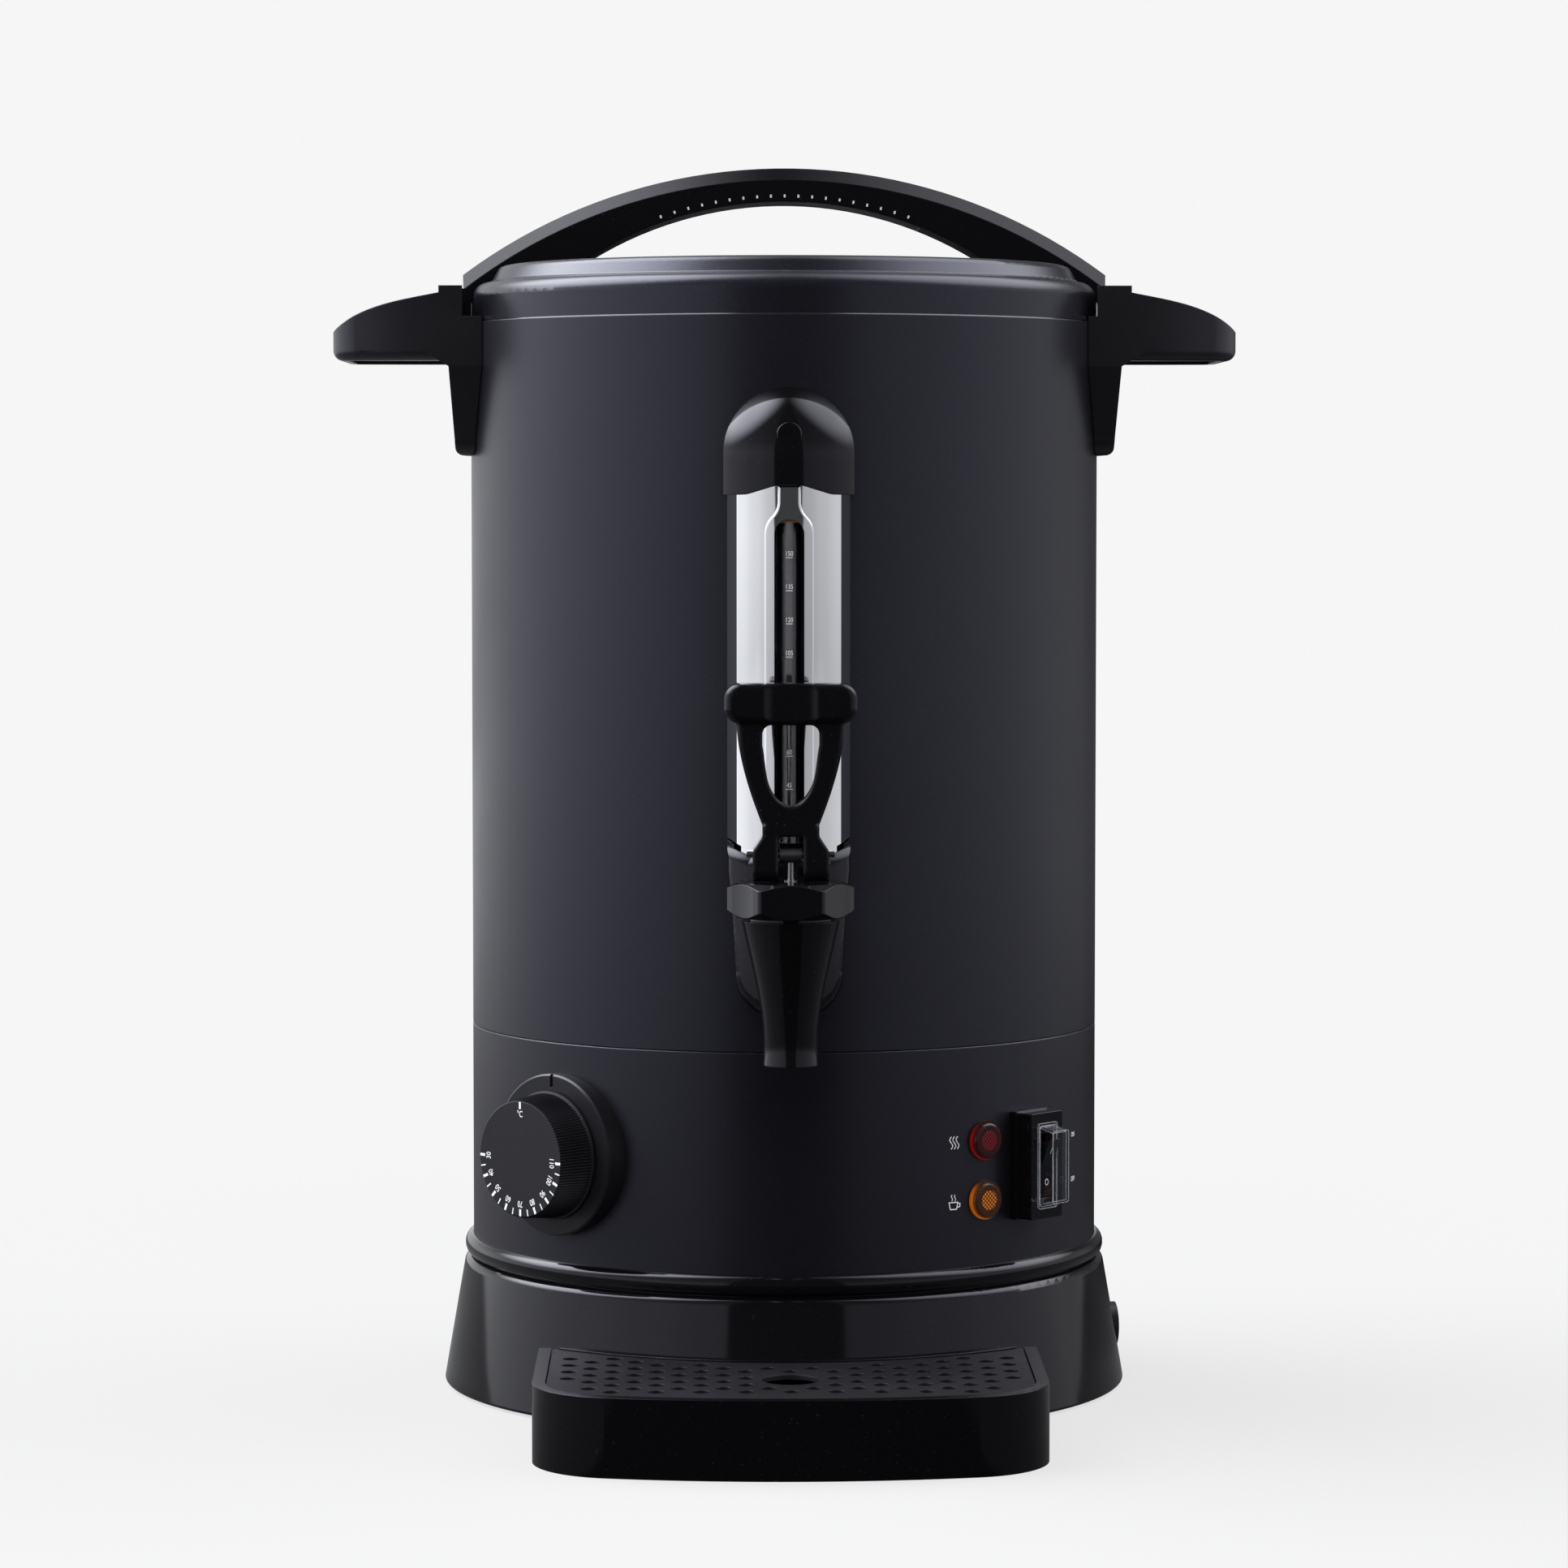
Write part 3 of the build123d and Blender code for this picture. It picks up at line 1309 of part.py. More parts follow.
cap_screw_seat = sqrt(tank_inner_radius**2 - cap_screw_head_radius**2)
with BuildPart() as gauge_screw:
    with BuildSketch(facing(0, cap_screw_height, cap_screw_seat)):
        Circle(cap_screw_head_radius)
    extrude(amount=-cap_screw_head_height)
    with BuildSketch(facing(0, cap_screw_height, cap_screw_seat)):
        Circle(cap_screw_radius)
    extrude(amount=cap_screw_length)
gauge_screw.part.label = "gauge_screw"
export_step(gauge_screw.part, "parts/gauge_screw.step")

# Lower cap: covers the block, with the tap's shank coming through its front
with BuildPart() as gauge_bottom_cap:
    for inset, top_gain in ((0, 0), (lower_cap_wall, overrun)):
        with BuildSketch(facing(0, 0, lower_cap_reach - inset)):
            with BuildLine():
                Polyline(
                    (-lower_cap_foot_half_width + inset, lower_cap_bottom + inset),
                    (lower_cap_foot_half_width - inset, lower_cap_bottom + inset),
                    (lower_cap_foot_half_width - inset, lower_cap_foot),
                    (lower_cap_bend_half_width - inset, lower_cap_bend),
                    (lower_cap_half_width - inset, lower_cap_bend_top),
                    (lower_cap_half_width - inset, lower_cap_side_top + top_gain),
                    (lower_cap_middle_half_width, lower_cap_middle_top + top_gain),
                    (-lower_cap_middle_half_width, lower_cap_middle_top + top_gain),
                    (-lower_cap_half_width + inset, lower_cap_side_top + top_gain),
                    (-lower_cap_half_width + inset, lower_cap_bend_top),
                    (-lower_cap_bend_half_width + inset, lower_cap_bend),
                    (-lower_cap_foot_half_width + inset, lower_cap_foot),
                    close=True,
                )
            cap_outline = make_face()
            fillet(cap_outline.vertices().group_by(Axis.Y)[0], lower_cap_foot_round - inset)
        cap_layer = extrude(amount=-lower_cap_reach / 2, mode=Mode.PRIVATE)
        with BuildSketch(Plane.XY.offset(lower_cap_bottom - overrun), mode=Mode.PRIVATE) as cap_plan:
            add(
                cover_plan(
                    lower_cap_reach - inset,
                    lower_cap_half_width - inset,
                    lower_cap_half_width - inset,
                )
            )
        plan_height = lower_cap_side_top - lower_cap_bottom + 3 * overrun
        plan_layer = extrude(cap_plan.sketch, amount=plan_height, mode=Mode.PRIVATE)
        add(cap_layer & plan_layer, mode=Mode.SUBTRACT if inset else Mode.ADD)
        if not inset:
            front_face = gauge_bottom_cap.faces().sort_by(Axis.Y)[0]
            fillet(front_face.edges(), lower_cap_round)
    with BuildSketch(Plane.XY.offset(lower_cap_bottom)):
        Circle(body_radius + slip)
    extrude(amount=lower_cap_side_top - lower_cap_bottom, mode=Mode.SUBTRACT)
    with BuildSketch(facing(0, shank_height, lower_cap_reach)):
        Circle(shank_hole_radius)
    extrude(amount=-lower_cap_round, mode=Mode.SUBTRACT)
gauge_bottom_cap.part.label = "gauge_bottom_cap"
export_step(gauge_bottom_cap.part, "parts/gauge_bottom_cap.step")

# Side handle: a bracket that hugs the tank, a hollow wing for the hand, and above them
# the pocket that the lid's lug turns into
with BuildPart() as handle_right:
    with BuildSketch(Plane.XZ):
        with BuildLine():
            Polyline(
                (body_radius / 2, handle_bottom),
                (bracket_foot_reach, handle_bottom),
                (bracket_reach, handle_side_bottom),
                (pocket_lip_reach, wing_underside),
                (wing_reach, wing_underside),
                (wing_reach, wing_tip_top),
            )
            Spline(
                (wing_reach, wing_tip_top),
                (wing_outer_reach, wing_outer_top),
                (wing_middle_reach, wing_middle_top),
                (pocket_lip_reach, wing_root_top),
            )
            Polyline(
                (pocket_lip_reach, wing_root_top),
                (pocket_lip_reach, handle_top),
                (body_radius / 2, handle_top),
                (body_radius / 2, handle_bottom),
            )
        handle_profile = make_face()
        fillet(handle_profile.vertices().group_by(Axis.Y)[0].sort_by(Axis.X)[-1], bracket_low_round)
    extrude(amount=handle_half_width, both=True)
    with BuildSketch(Plane.YZ):
        with BuildLine():
            Polyline(
                (-handle_half_width, handle_top),
                (-handle_half_width, handle_side_bottom),
                (-handle_waist_half_width, handle_waist_height),
                (-handle_waist_half_width, handle_bottom),
                (handle_waist_half_width, handle_bottom),
                (handle_waist_half_width, handle_waist_height),
                (handle_half_width, handle_side_bottom),
                (handle_half_width, handle_top),
                close=True,
            )
        bracket_outline = make_face()
        fillet(bracket_outline.vertices().group_by(Axis.Y)[0], handle_waist_height - handle_bottom)
    extrude(amount=wing_reach, mode=Mode.INTERSECT)
    with BuildSketch(Plane.XY.offset(handle_bottom)):
        with BuildLine():
            Polyline(
                (bracket_reach, handle_half_width),
                (0, handle_half_width),
                (0, -handle_half_width),
                (bracket_reach, -handle_half_width),
            )
            ThreePointArc(
                (bracket_reach, -handle_half_width),
                (wing_mid_reach, -wing_mid_half_width),
                (wing_reach, -wing_tip_half_width),
            )
            Line((wing_reach, -wing_tip_half_width), (wing_reach, wing_tip_half_width))
            ThreePointArc(
                (wing_reach, wing_tip_half_width),
                (wing_mid_reach, wing_mid_half_width),
                (bracket_reach, handle_half_width),
            )
        wing_outline = make_face()
        fillet(wing_outline.vertices().group_by(Axis.X)[-1], wing_corner)
    extrude(amount=handle_top - handle_bottom, mode=Mode.INTERSECT)
    low_face = handle_right.faces().filter_by(Axis.Z).sort_by(lambda f: abs(f.center().Z - wing_underside))[0]
    fillet(low_face.edges().filter_by(lambda e: e.center().X > pocket_lip_reach + touch), wing_low_round)
    with BuildSketch(Plane.XZ):
        with BuildLine():
            Polyline(
                (pocket_lip_reach, wing_underside - overrun),
                (wing_reach - wing_rim, wing_underside - overrun),
                (wing_reach - wing_rim, wing_tip_top - wing_wall),
                (wing_outer_reach - wing_wall, wing_outer_top - wing_wall),
                (wing_middle_reach, wing_middle_top - wing_wall),
                (pocket_lip_reach, wing_root_top - wing_wall),
                close=True,
            )
        make_face()
    extrude(amount=wing_tip_half_width - wing_rim, both=True, mode=Mode.SUBTRACT)
    with BuildSketch(Plane.XY.offset(handle_bottom)):
        Circle(body_radius + slip)
    extrude(amount=pocket_floor - handle_bottom, mode=Mode.SUBTRACT)
    with BuildSketch(Plane.XY.offset(pocket_floor)):
        Circle(pocket_inner_radius)
    extrude(amount=handle_top - pocket_floor, mode=Mode.SUBTRACT)
    with BuildSketch(Plane.XY.offset(pocket_floor)):
        with Locations((0, -pocket_side)):
            Rectangle(
                2 * pocket_radius,
                handle_half_width + pocket_side + overrun,
                align=(Align.CENTER, Align.MIN),
            )
        Circle(pocket_radius, mode=Mode.INTERSECT)
    extrude(amount=handle_top - pocket_floor, mode=Mode.SUBTRACT)
    for height in handle_screw_heights:
        with BuildSketch(Plane.YZ.offset(handle_screw_reach)):
            with Locations((0, height)):
                Circle(handle_screw_radius + slip)
        extrude(amount=-handle_screw_reach, mode=Mode.SUBTRACT)
handle_right.part.label = "handle_right"
export_step(handle_right.part, "parts/handle_right.step")

with BuildPart() as handle_left:
    add(handle_right.part, rotation=(0, 0, 180))
handle_left.part.label = "handle_left"
export_step(handle_left.part, "parts/handle_left.step")

washer_seat = sqrt(tank_inner_radius**2 - handle_washer_radius**2)
head_seat = washer_seat - handle_washer_sheet
with BuildPart() as handle_screws:
    for side in (-1, 1):
        for height in handle_screw_heights:
            with BuildSketch(Plane.YZ.offset(side * head_seat)):
                with Locations((0, height)):
                    Circle(handle_screw_head_radius)
            extrude(amount=-side * handle_screw_head_height)
            with BuildSketch(Plane.YZ.offset(side * head_seat)):
                with Locations((0, height)):
                    Circle(handle_screw_radius)
            extrude(amount=side * (handle_screw_reach - slip - head_seat))
handle_screws.part.label = "handle_screws"
export_step(handle_screws.part, "parts/handle_screws.step")

with BuildPart() as handle_washers:
    for side in (-1, 1):
        for height in handle_screw_heights:
            with BuildSketch(Plane.YZ.offset(side * washer_seat)):
                with Locations((0, height)):
                    Circle(handle_washer_radius)
                    Circle(handle_screw_radius + slip, mode=Mode.SUBTRACT)
            extrude(amount=-side * handle_washer_sheet)
handle_washers.part.label = "handle_washers"
export_step(handle_washers.part, "parts/handle_washers.step")

# Lid: a deep-drawn shell with a flat ring inside that rests on the seal
lid_sheet = 1.0
lid_radius = 139.6
lid_bottom = 475.2
lid_shoulder = 491.2
lid_shoulder_round = 6.5
lid_groove_radius = 131.5
lid_groove = 493.0
lid_groove_round = 1.2
lid_step_radius = 127.5
lid_step = 500.0
lid_step_round = 4.5
lid_crown = 501.2
seal_height = 3.0
seal_inner_radius = 128.0
rim_ring_sheet = 1.0
seal_top = bead_top + seal_height
seal_radius = bead_radius + slip
rim_ring_radius = lid_radius - lid_sheet - slip

# Lid handle: a hollow arch over the lid, with a foot and a lug at each side
arch_radius = 239.7
arch_top = 543.4
arch_inner_radius = 165.0
arch_inner_top = 528.5
arch_half_depth = 19.0
arch_bevel = 5.5
arch_wall = 4.0
foot_plate_radius = 143.5
foot_plate_inner_radius = 140.3
foot_plate_bottom = 477.5
lug_radius = 147.0
lug_bottom = 477.8
lug_top = 490.0
lug_recess_bottom = 481.9
lug_recess_top = 486.2
lug_web = 5.0
insert_half_length = 60.0
insert_sheet = 2.2
insert_half_depth = 14.8
insert_notches = 20
insert_notch_width = 2.0
insert_notch_depth = 1.5
lid_screw_reach = 108.0
lid_screw_radius = 2.0
lid_screw_length = 9.0
lid_screw_head_radius = 4.0
lid_screw_head_height = 2.2
arch_centre = arch_top - arch_radius
arch_inner_centre = arch_inner_top - arch_inner_radius


def lid_outline(inset, lower):
    """The closed half section of the lid, drawn inward by an inset and down to a height."""
    with BuildSketch(Plane.XZ) as half:
        with BuildLine():
            FilletPolyline(
                (0, lower),
                (lid_radius - inset, lower),
                (lid_radius - inset, lid_shoulder - inset),
                (lid_groove_radius - inset / 2, lid_groove - inset),
                (lid_step_radius - inset / 2, lid_step - inset),
                (0, lid_crown - inset),
                radius=[
                    0,
                    0,
                    lid_shoulder_round - inset,
                    lid_groove_round + inset / 2,
                    lid_step_round - inset,
                    0,
                ],
                close=True,
            )
        make_face()
    return half.sketch


with BuildPart() as lid_shell:
    with BuildSketch(Plane.XZ):
        add(lid_outline(0, lid_bottom))
        add(lid_outline(lid_sheet, lid_bottom - overrun), mode=Mode.SUBTRACT)
    revolve(axis=Axis.Z)
    for side in (-1, 1):
        with BuildSketch(Plane.XY.offset(lid_crown)):
            with Locations((side * lid_screw_reach, 0)):
                Circle(lid_screw_radius + slip)
        extrude(amount=lid_shoulder - lid_crown, mode=Mode.SUBTRACT)
lid_shell.part.label = "lid_shell"
export_step(lid_shell.part, "parts/lid_shell.step")

with BuildPart() as lid_seal:
    with BuildSketch(Plane.XY.offset(bead_top)):
        Circle(seal_radius)
        Circle(seal_inner_radius, mode=Mode.SUBTRACT)
    extrude(amount=seal_height)
lid_seal.part.label = "lid_seal"
export_step(lid_seal.part, "parts/lid_seal.step")

with BuildPart() as lid_rim_ring:
    with BuildSketch(Plane.XY.offset(seal_top)):
        Circle(rim_ring_radius)
        Circle(seal_inner_radius, mode=Mode.SUBTRACT)
    extrude(amount=rim_ring_sheet)
lid_rim_ring.part.label = "lid_rim_ring"
export_step(lid_rim_ring.part, "parts/lid_rim_ring.step")

with BuildPart() as lid_handle:
    with BuildSketch(Plane.XZ):
        with Locations((0, arch_centre)):
            Circle(arch_radius)
        with Locations((0, foot_plate_bottom)):
            Rectangle(
                2 * lug_radius,
                arch_top - foot_plate_bottom,
                align=(Align.CENTER, Align.MIN),
                mode=Mode.INTERSECT,
            )
        with Locations((0, arch_inner_centre)):
            Circle(arch_inner_radius, mode=Mode.SUBTRACT)
    extrude(amount=arch_half_depth, both=True)
    arch_edges = lid_handle.edges().filter_by(GeomType.CIRCLE).filter_by(
        lambda e: abs(e.radius - arch_radius) < touch
    )
    chamfer(arch_edges, arch_bevel)
    with BuildSketch(Plane.XY.offset(foot_plate_bottom)):
        Circle(foot_plate_radius)
    extrude(amount=arch_top - foot_plate_bottom, mode=Mode.INTERSECT)
    with BuildSketch(Plane.XY.offset(lug_bottom)):
        Rectangle(2 * lug_radius, 2 * arch_half_depth)
        Circle(lug_radius, mode=Mode.INTERSECT)
        Circle(foot_plate_inner_radius, mode=Mode.SUBTRACT)
    extrude(amount=lug_top - lug_bottom)
    with BuildSketch(Plane.XY.offset(lug_recess_bottom)):
        for side in (-1, 1):
            with Locations((side * lug_radius, side * lug_web)):
                Rectangle(2 * (lug_radius - foot_plate_radius), 2 * arch_half_depth)
    extrude(amount=lug_recess_top - lug_recess_bottom, mode=Mode.SUBTRACT)
    with BuildSketch(Plane.XY.offset(foot_plate_bottom)):
        Circle(foot_plate_inner_radius)
    extrude(amount=lid_shoulder - lid_shoulder_round - foot_plate_bottom, mode=Mode.SUBTRACT)
    with BuildSketch(Plane.XZ):
        add(lid_outline(-slip, foot_plate_bottom - overrun))
    revolve(axis=Axis.Z, mode=Mode.SUBTRACT)
    with BuildSketch(Plane.XZ):
        with Locations((0, arch_centre)):
            Circle(arch_radius - arch_wall)
        Rectangle(2 * insert_half_length, 2 * arch_top, mode=Mode.INTERSECT)
        with Locations((0, arch_inner_centre)):
            Circle(arch_inner_radius, mode=Mode.SUBTRACT)
        with Locations((0, arch_inner_centre)):
            Rectangle(
                2 * insert_half_length,
                2 * arch_inner_radius,
                align=(Align.CENTER, Align.MAX),
                mode=Mode.SUBTRACT,
            )
    extrude(amount=insert_half_depth + slip, both=True, mode=Mode.SUBTRACT)
    for side in (-1, 1):
        with BuildSketch(Plane.XY.offset(lid_step)):
            with Locations((side * lid_screw_reach, 0)):
                Circle(lid_screw_radius + slip)
        extrude(amount=lid_screw_length, mode=Mode.SUBTRACT)
lid_handle.part.label = "lid_handle"
export_step(lid_handle.part, "parts/lid_handle.step")

with BuildPart() as lid_handle_insert:
    with BuildSketch(Plane.XZ):
        with Locations((0, arch_inner_centre)):
            Circle(arch_inner_radius + insert_sheet)
            Circle(arch_inner_radius, mode=Mode.SUBTRACT)
        with Locations((0, arch_inner_centre)):
            Rectangle(
                2 * (insert_half_length - slip),
                2 * arch_inner_radius,
                align=(Align.CENTER, Align.MIN),
                mode=Mode.INTERSECT,
            )
    extrude(amount=insert_half_depth, both=True)
    with BuildSketch(Plane.XY.offset(arch_inner_centre)):
        for side in (-1, 1):
            with Locations((0, side * insert_half_depth)):
                with GridLocations(2 * insert_half_length / insert_notches, 0, insert_notches, 1):
                    Rectangle(insert_notch_width, 2 * insert_notch_depth)
    extrude(amount=2 * arch_inner_radius, mode=Mode.SUBTRACT)
lid_handle_insert.part.label = "lid_handle_insert"
export_step(lid_handle_insert.part, "parts/lid_handle_insert.step")

lid_screw_seat = (
    lid_crown
    - lid_sheet
    - (lid_crown - lid_step) * (lid_screw_reach + lid_screw_head_radius) / lid_step_radius
)
with BuildPart() as lid_handle_screws:
    for side in (-1, 1):
        with BuildSketch(Plane.XY.offset(lid_screw_seat)):
            with Locations((side * lid_screw_reach, 0)):
                Circle(lid_screw_head_radius)
        extrude(amount=-lid_screw_head_height)
        with BuildSketch(Plane.XY.offset(lid_screw_seat)):
            with Locations((side * lid_screw_reach, 0)):
                Circle(lid_screw_radius)
        extrude(amount=lid_screw_length)
lid_handle_screws.part.label = "lid_handle_screws"
export_step(lid_handle_screws.part, "parts/lid_handle_screws.step")

# Drip tray: stands on the table against the skirt's flare, with a perforated grille in it
tray_height = 33.0
tray_half_width = 107.0
tray_front = 248.5
tray_front_arc = 353.0
tray_corner = 39.0
tray_wall = 2.2
tray_rim = 5.6
tray_ledge = 2.4
tray_ledge_height = 3.0
tray_skirt_gap = 0.3
tray_horn_depth = 118.0
grille_sheet = 2.0
grille_drop = 0.7
grille_gap = 0.3
grille_hole_radius = 3.4
grille_column_pitch = 9.25
grille_row_pitch = 16.05
grille_row_offset = 7.9
grille_columns = 10
grille_rows = 6
grille_last_row = 222.8
grille_margin = 5.5
drain_radius = 11.8
drain_margin = 1.0
grille_top = tray_height - grille_drop
grille_bottom = grille_top - grille_sheet
tray_back_radius = skirt_radius(tray_height) + tray_skirt_gap


def tray_outline(inset, back_radius):
    """The tray's plan drawn inward by an inset, and cut behind by a round of this radius."""
    with BuildSketch() as plan:
        with Locations((0, -tray_horn_depth)):
            Rectangle(
                2 * (tray_half_width - inset),
                tray_front_arc,
                align=(Align.CENTER, Align.MAX),
            )
        with Locations((0, tray_front_arc - tray_front)):
            Circle(tray_front_arc - inset, mode=Mode.INTERSECT)
        fillet(plan.vertices().group_by(Axis.Y)[0], tray_corner - inset)
        Circle(back_radius, mode=Mode.SUBTRACT)
    return plan.sketch


with BuildPart() as drip_tray:
    with BuildSketch():
        add(tray_outline(0, tray_back_radius))
    extrude(amount=tray_height)
    with BuildSketch(Plane.XZ):
        with BuildLine():
            Polyline(
                (0, 0),
                (skirt_radius(0) + tray_skirt_gap, 0),
                (tray_back_radius, tray_height),
                (0, tray_height),
                close=True,
            )
        make_face()
    revolve(axis=Axis.Z, mode=Mode.SUBTRACT)
    with BuildSketch(Plane.XY.offset(tray_wall)):
        add(tray_outline(tray_wall, skirt_radius(tray_wall) + tray_skirt_gap + tray_wall))
    extrude(amount=grille_bottom - tray_ledge_height - tray_wall, mode=Mode.SUBTRACT)
    with BuildSketch(Plane.XY.offset(tray_wall)):
        add(tray_outline(tray_rim + tray_ledge, tray_back_radius + tray_rim + tray_ledge))
    extrude(amount=tray_height - tray_wall, mode=Mode.SUBTRACT)
    with BuildSketch(Plane.XY.offset(grille_bottom)):
        add(tray_outline(tray_rim, tray_back_radius + tray_rim))
    extrude(amount=tray_height - grille_bottom, mode=Mode.SUBTRACT)
drip_tray.part.label = "drip_tray"
export_step(drip_tray.part, "parts/drip_tray.step")

grille_back_radius = tray_back_radius + tray_rim + grille_gap
hole_places = []
for column in range(-grille_columns, grille_columns + 1):
    x = column * grille_column_pitch
    for row in range(grille_rows):
        y = -grille_last_row + row * grille_row_pitch + (column % 2) * grille_row_offset
        clear_of_back = sqrt(x**2 + y**2) - grille_hole_radius > grille_back_radius + grille_margin / 2
        clear_of_drain = sqrt(x**2 + (y + tap_reach) ** 2) > drain_radius + grille_hole_radius + drain_margin
        corner_x = abs(x) - (tray_half_width - tray_corner)
        corner_y = tray_front - tray_corner - grille_column_pitch
        clear_of_corner = corner_x < 0 or -y < corner_y or (
            sqrt(corner_x**2 + (-y - corner_y) ** 2)
            < tray_corner - tray_rim - grille_margin - grille_hole_radius
        )
        if clear_of_back and clear_of_drain and clear_of_corner:
            hole_places.append((x, y))

with BuildPart() as drip_grille:
    with BuildSketch(Plane.XY.offset(grille_bottom)):
        add(tray_outline(tray_rim + grille_gap, grille_back_radius))
        with Locations(*hole_places):
            Circle(grille_hole_radius, mode=Mode.SUBTRACT)
        with Locations((0, -tap_reach)):
            Circle(drain_radius, mode=Mode.SUBTRACT)
    extrude(amount=grille_sheet)
drip_grille.part.label = "drip_grille"
export_step(drip_grille.part, "parts/drip_grille.step")
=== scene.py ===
import math

import bmesh
import bpy
from mathutils import Matrix, Vector


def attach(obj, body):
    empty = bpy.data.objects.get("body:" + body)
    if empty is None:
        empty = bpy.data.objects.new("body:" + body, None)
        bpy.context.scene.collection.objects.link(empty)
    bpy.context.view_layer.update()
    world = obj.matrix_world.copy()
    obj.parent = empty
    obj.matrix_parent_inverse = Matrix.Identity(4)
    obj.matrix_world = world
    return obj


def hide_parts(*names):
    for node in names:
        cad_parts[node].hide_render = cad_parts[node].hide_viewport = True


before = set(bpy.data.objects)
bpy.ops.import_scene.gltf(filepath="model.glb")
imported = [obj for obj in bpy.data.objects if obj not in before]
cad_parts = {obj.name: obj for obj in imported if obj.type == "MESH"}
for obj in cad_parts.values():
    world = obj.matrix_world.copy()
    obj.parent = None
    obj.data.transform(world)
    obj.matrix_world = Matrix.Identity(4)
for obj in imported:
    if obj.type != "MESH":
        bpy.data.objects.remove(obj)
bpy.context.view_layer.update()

# The studio. A white room with soft bright panels to both sides of the lens, a dark
# slot in front where the photographer stands, and a pale table that melts into the
# pale background. Nothing here belongs to the dispenser.
background_grey = 0.922
table_albedo = 0.085
table_own_light = 0.69
table_size = 14.0
table_blend_start = 0.45
table_blend_end = 0.95
table_in_reflections = 0.22
panels_near = 1.4
panels_far = 2.4
studio_tint = (0.965, 0.975, 1.0)
panel_scale = 1.5
# Degrees around from the lens, and the level there
panel_levels = (
    (-180, 0.9), (-165, 0.85), (-150, 0.9), (-132, 1.15), (-104, 1.25), (-74, 1.05), (-50, 0.85),
    (-27, 0.64), (-21.5, 0.6), (-19.5, 0.05), (19.5, 0.05), (21.5, 0.42), (30, 0.45), (52, 0.56),
    (78, 0.68), (108, 0.66), (131, 0.38), (150, 0.1), (168, 0.1), (174, 0.6), (180, 0.9),
)
# The height share of the direction, and the level there
height_levels = (
    (-1.0, 0.3), (-0.08, 0.6), (0.0, 1.0), (0.16, 1.08), (0.3, 0.86), (0.45, 0.55), (0.8, 0.3),
    (1.0, 0.15),
)
# Each soft box: its direction, where its edge and core lie as a cosine, and its level
soft_boxes = (
    ((-0.61, 0.18, 0.75), 0.78, 0.985, 9.5),
    ((0.62, 0.18, 0.76), 0.76, 0.985, 4.0),
)
lens_distance = 2.2975
lens_side = -0.0321
lens_height = 0.4007
lens_turn = -0.8
lens_dip = 3.29
lens_length = 117.4
fill_size = 2.4
fill_place = (0.0, -3.0, 2.0)
fill_radiance = 3.0
fill_aim = (0.0, 0.0, 0.25)

scene = bpy.context.scene
scene.view_settings.view_transform = "Standard"


def new_group(name, inputs, outputs):
    """A shader node group with float or vector inputs; returns it with its two ends."""
    group = bpy.data.node_groups.new(name, "ShaderNodeTree")
    for socket, value in inputs.items():
        kind = "NodeSocketVector" if value is None else "NodeSocketFloat"
        made = group.interface.new_socket(socket, in_out="INPUT", socket_type=kind)
        if value is not None:
            made.default_value = value
    for socket in outputs:
        group.interface.new_socket(socket, in_out="OUTPUT", socket_type="NodeSocketFloat")
    start = group.nodes.new("NodeGroupInput")
    end = group.nodes.new("NodeGroupOutput")
    return group, start, end


def math_node(tree, operation, first, second=None, third=None):
    """A math node whose inputs are sockets or plain numbers; returns its output."""
    node = tree.nodes.new("ShaderNodeMath")
    node.operation = operation
    for place, value in enumerate((first, second, third)):
        if isinstance(value, bpy.types.NodeSocket):
            tree.links.new(value, node.inputs[place])
        elif value is not None:
            node.inputs[place].default_value = value
    return node.outputs["Value"]


def vector_math(tree, operation, first, second=None):
    """A vector maths node whose inputs are sockets or plain vectors; returns the node."""
    node = tree.nodes.new("ShaderNodeVectorMath")
    node.operation = operation
    for place, value in enumerate((first, second)):
        if isinstance(value, bpy.types.NodeSocket):
            tree.links.new(value, node.inputs[place])
        elif value is not None:
            node.inputs[place].default_value = value
    return node


def smooth_step(tree, value, low, high):
    """A smooth mask that is 0 at low and 1 at high."""
    node = tree.nodes.new("ShaderNodeMapRange")
    node.interpolation_type = "SMOOTHSTEP"
    tree.links.new(value, node.inputs["Value"])
    node.inputs["From Min"].default_value = low
    node.inputs["From Max"].default_value = high
    return node.outputs["Result"]


def level_ramp(tree, value, low, high, levels, scale):
    """Reads a table of (place, level) with soft joins; the levels may go up to the scale."""
    placed = tree.nodes.new("ShaderNodeMapRange")
    tree.links.new(value, placed.inputs["Value"])
    placed.inputs["From Min"].default_value = low
    placed.inputs["From Max"].default_value = high
    ramp = tree.nodes.new("ShaderNodeValToRGB")
    ramp.color_ramp.interpolation = "EASE"
    stops = ramp.color_ramp.elements
    while len(stops) < len(levels):
        stops.new(0.5)
    for stop, (place, level) in zip(stops, levels):
        stop.position = (place - low) / (high - low)
        stop.color = (level / scale, level / scale, level / scale, 1)
    tree.links.new(placed.outputs["Result"], ramp.inputs["Fac"])
    return math_node(tree, "MULTIPLY", ramp.outputs["Color"], scale)


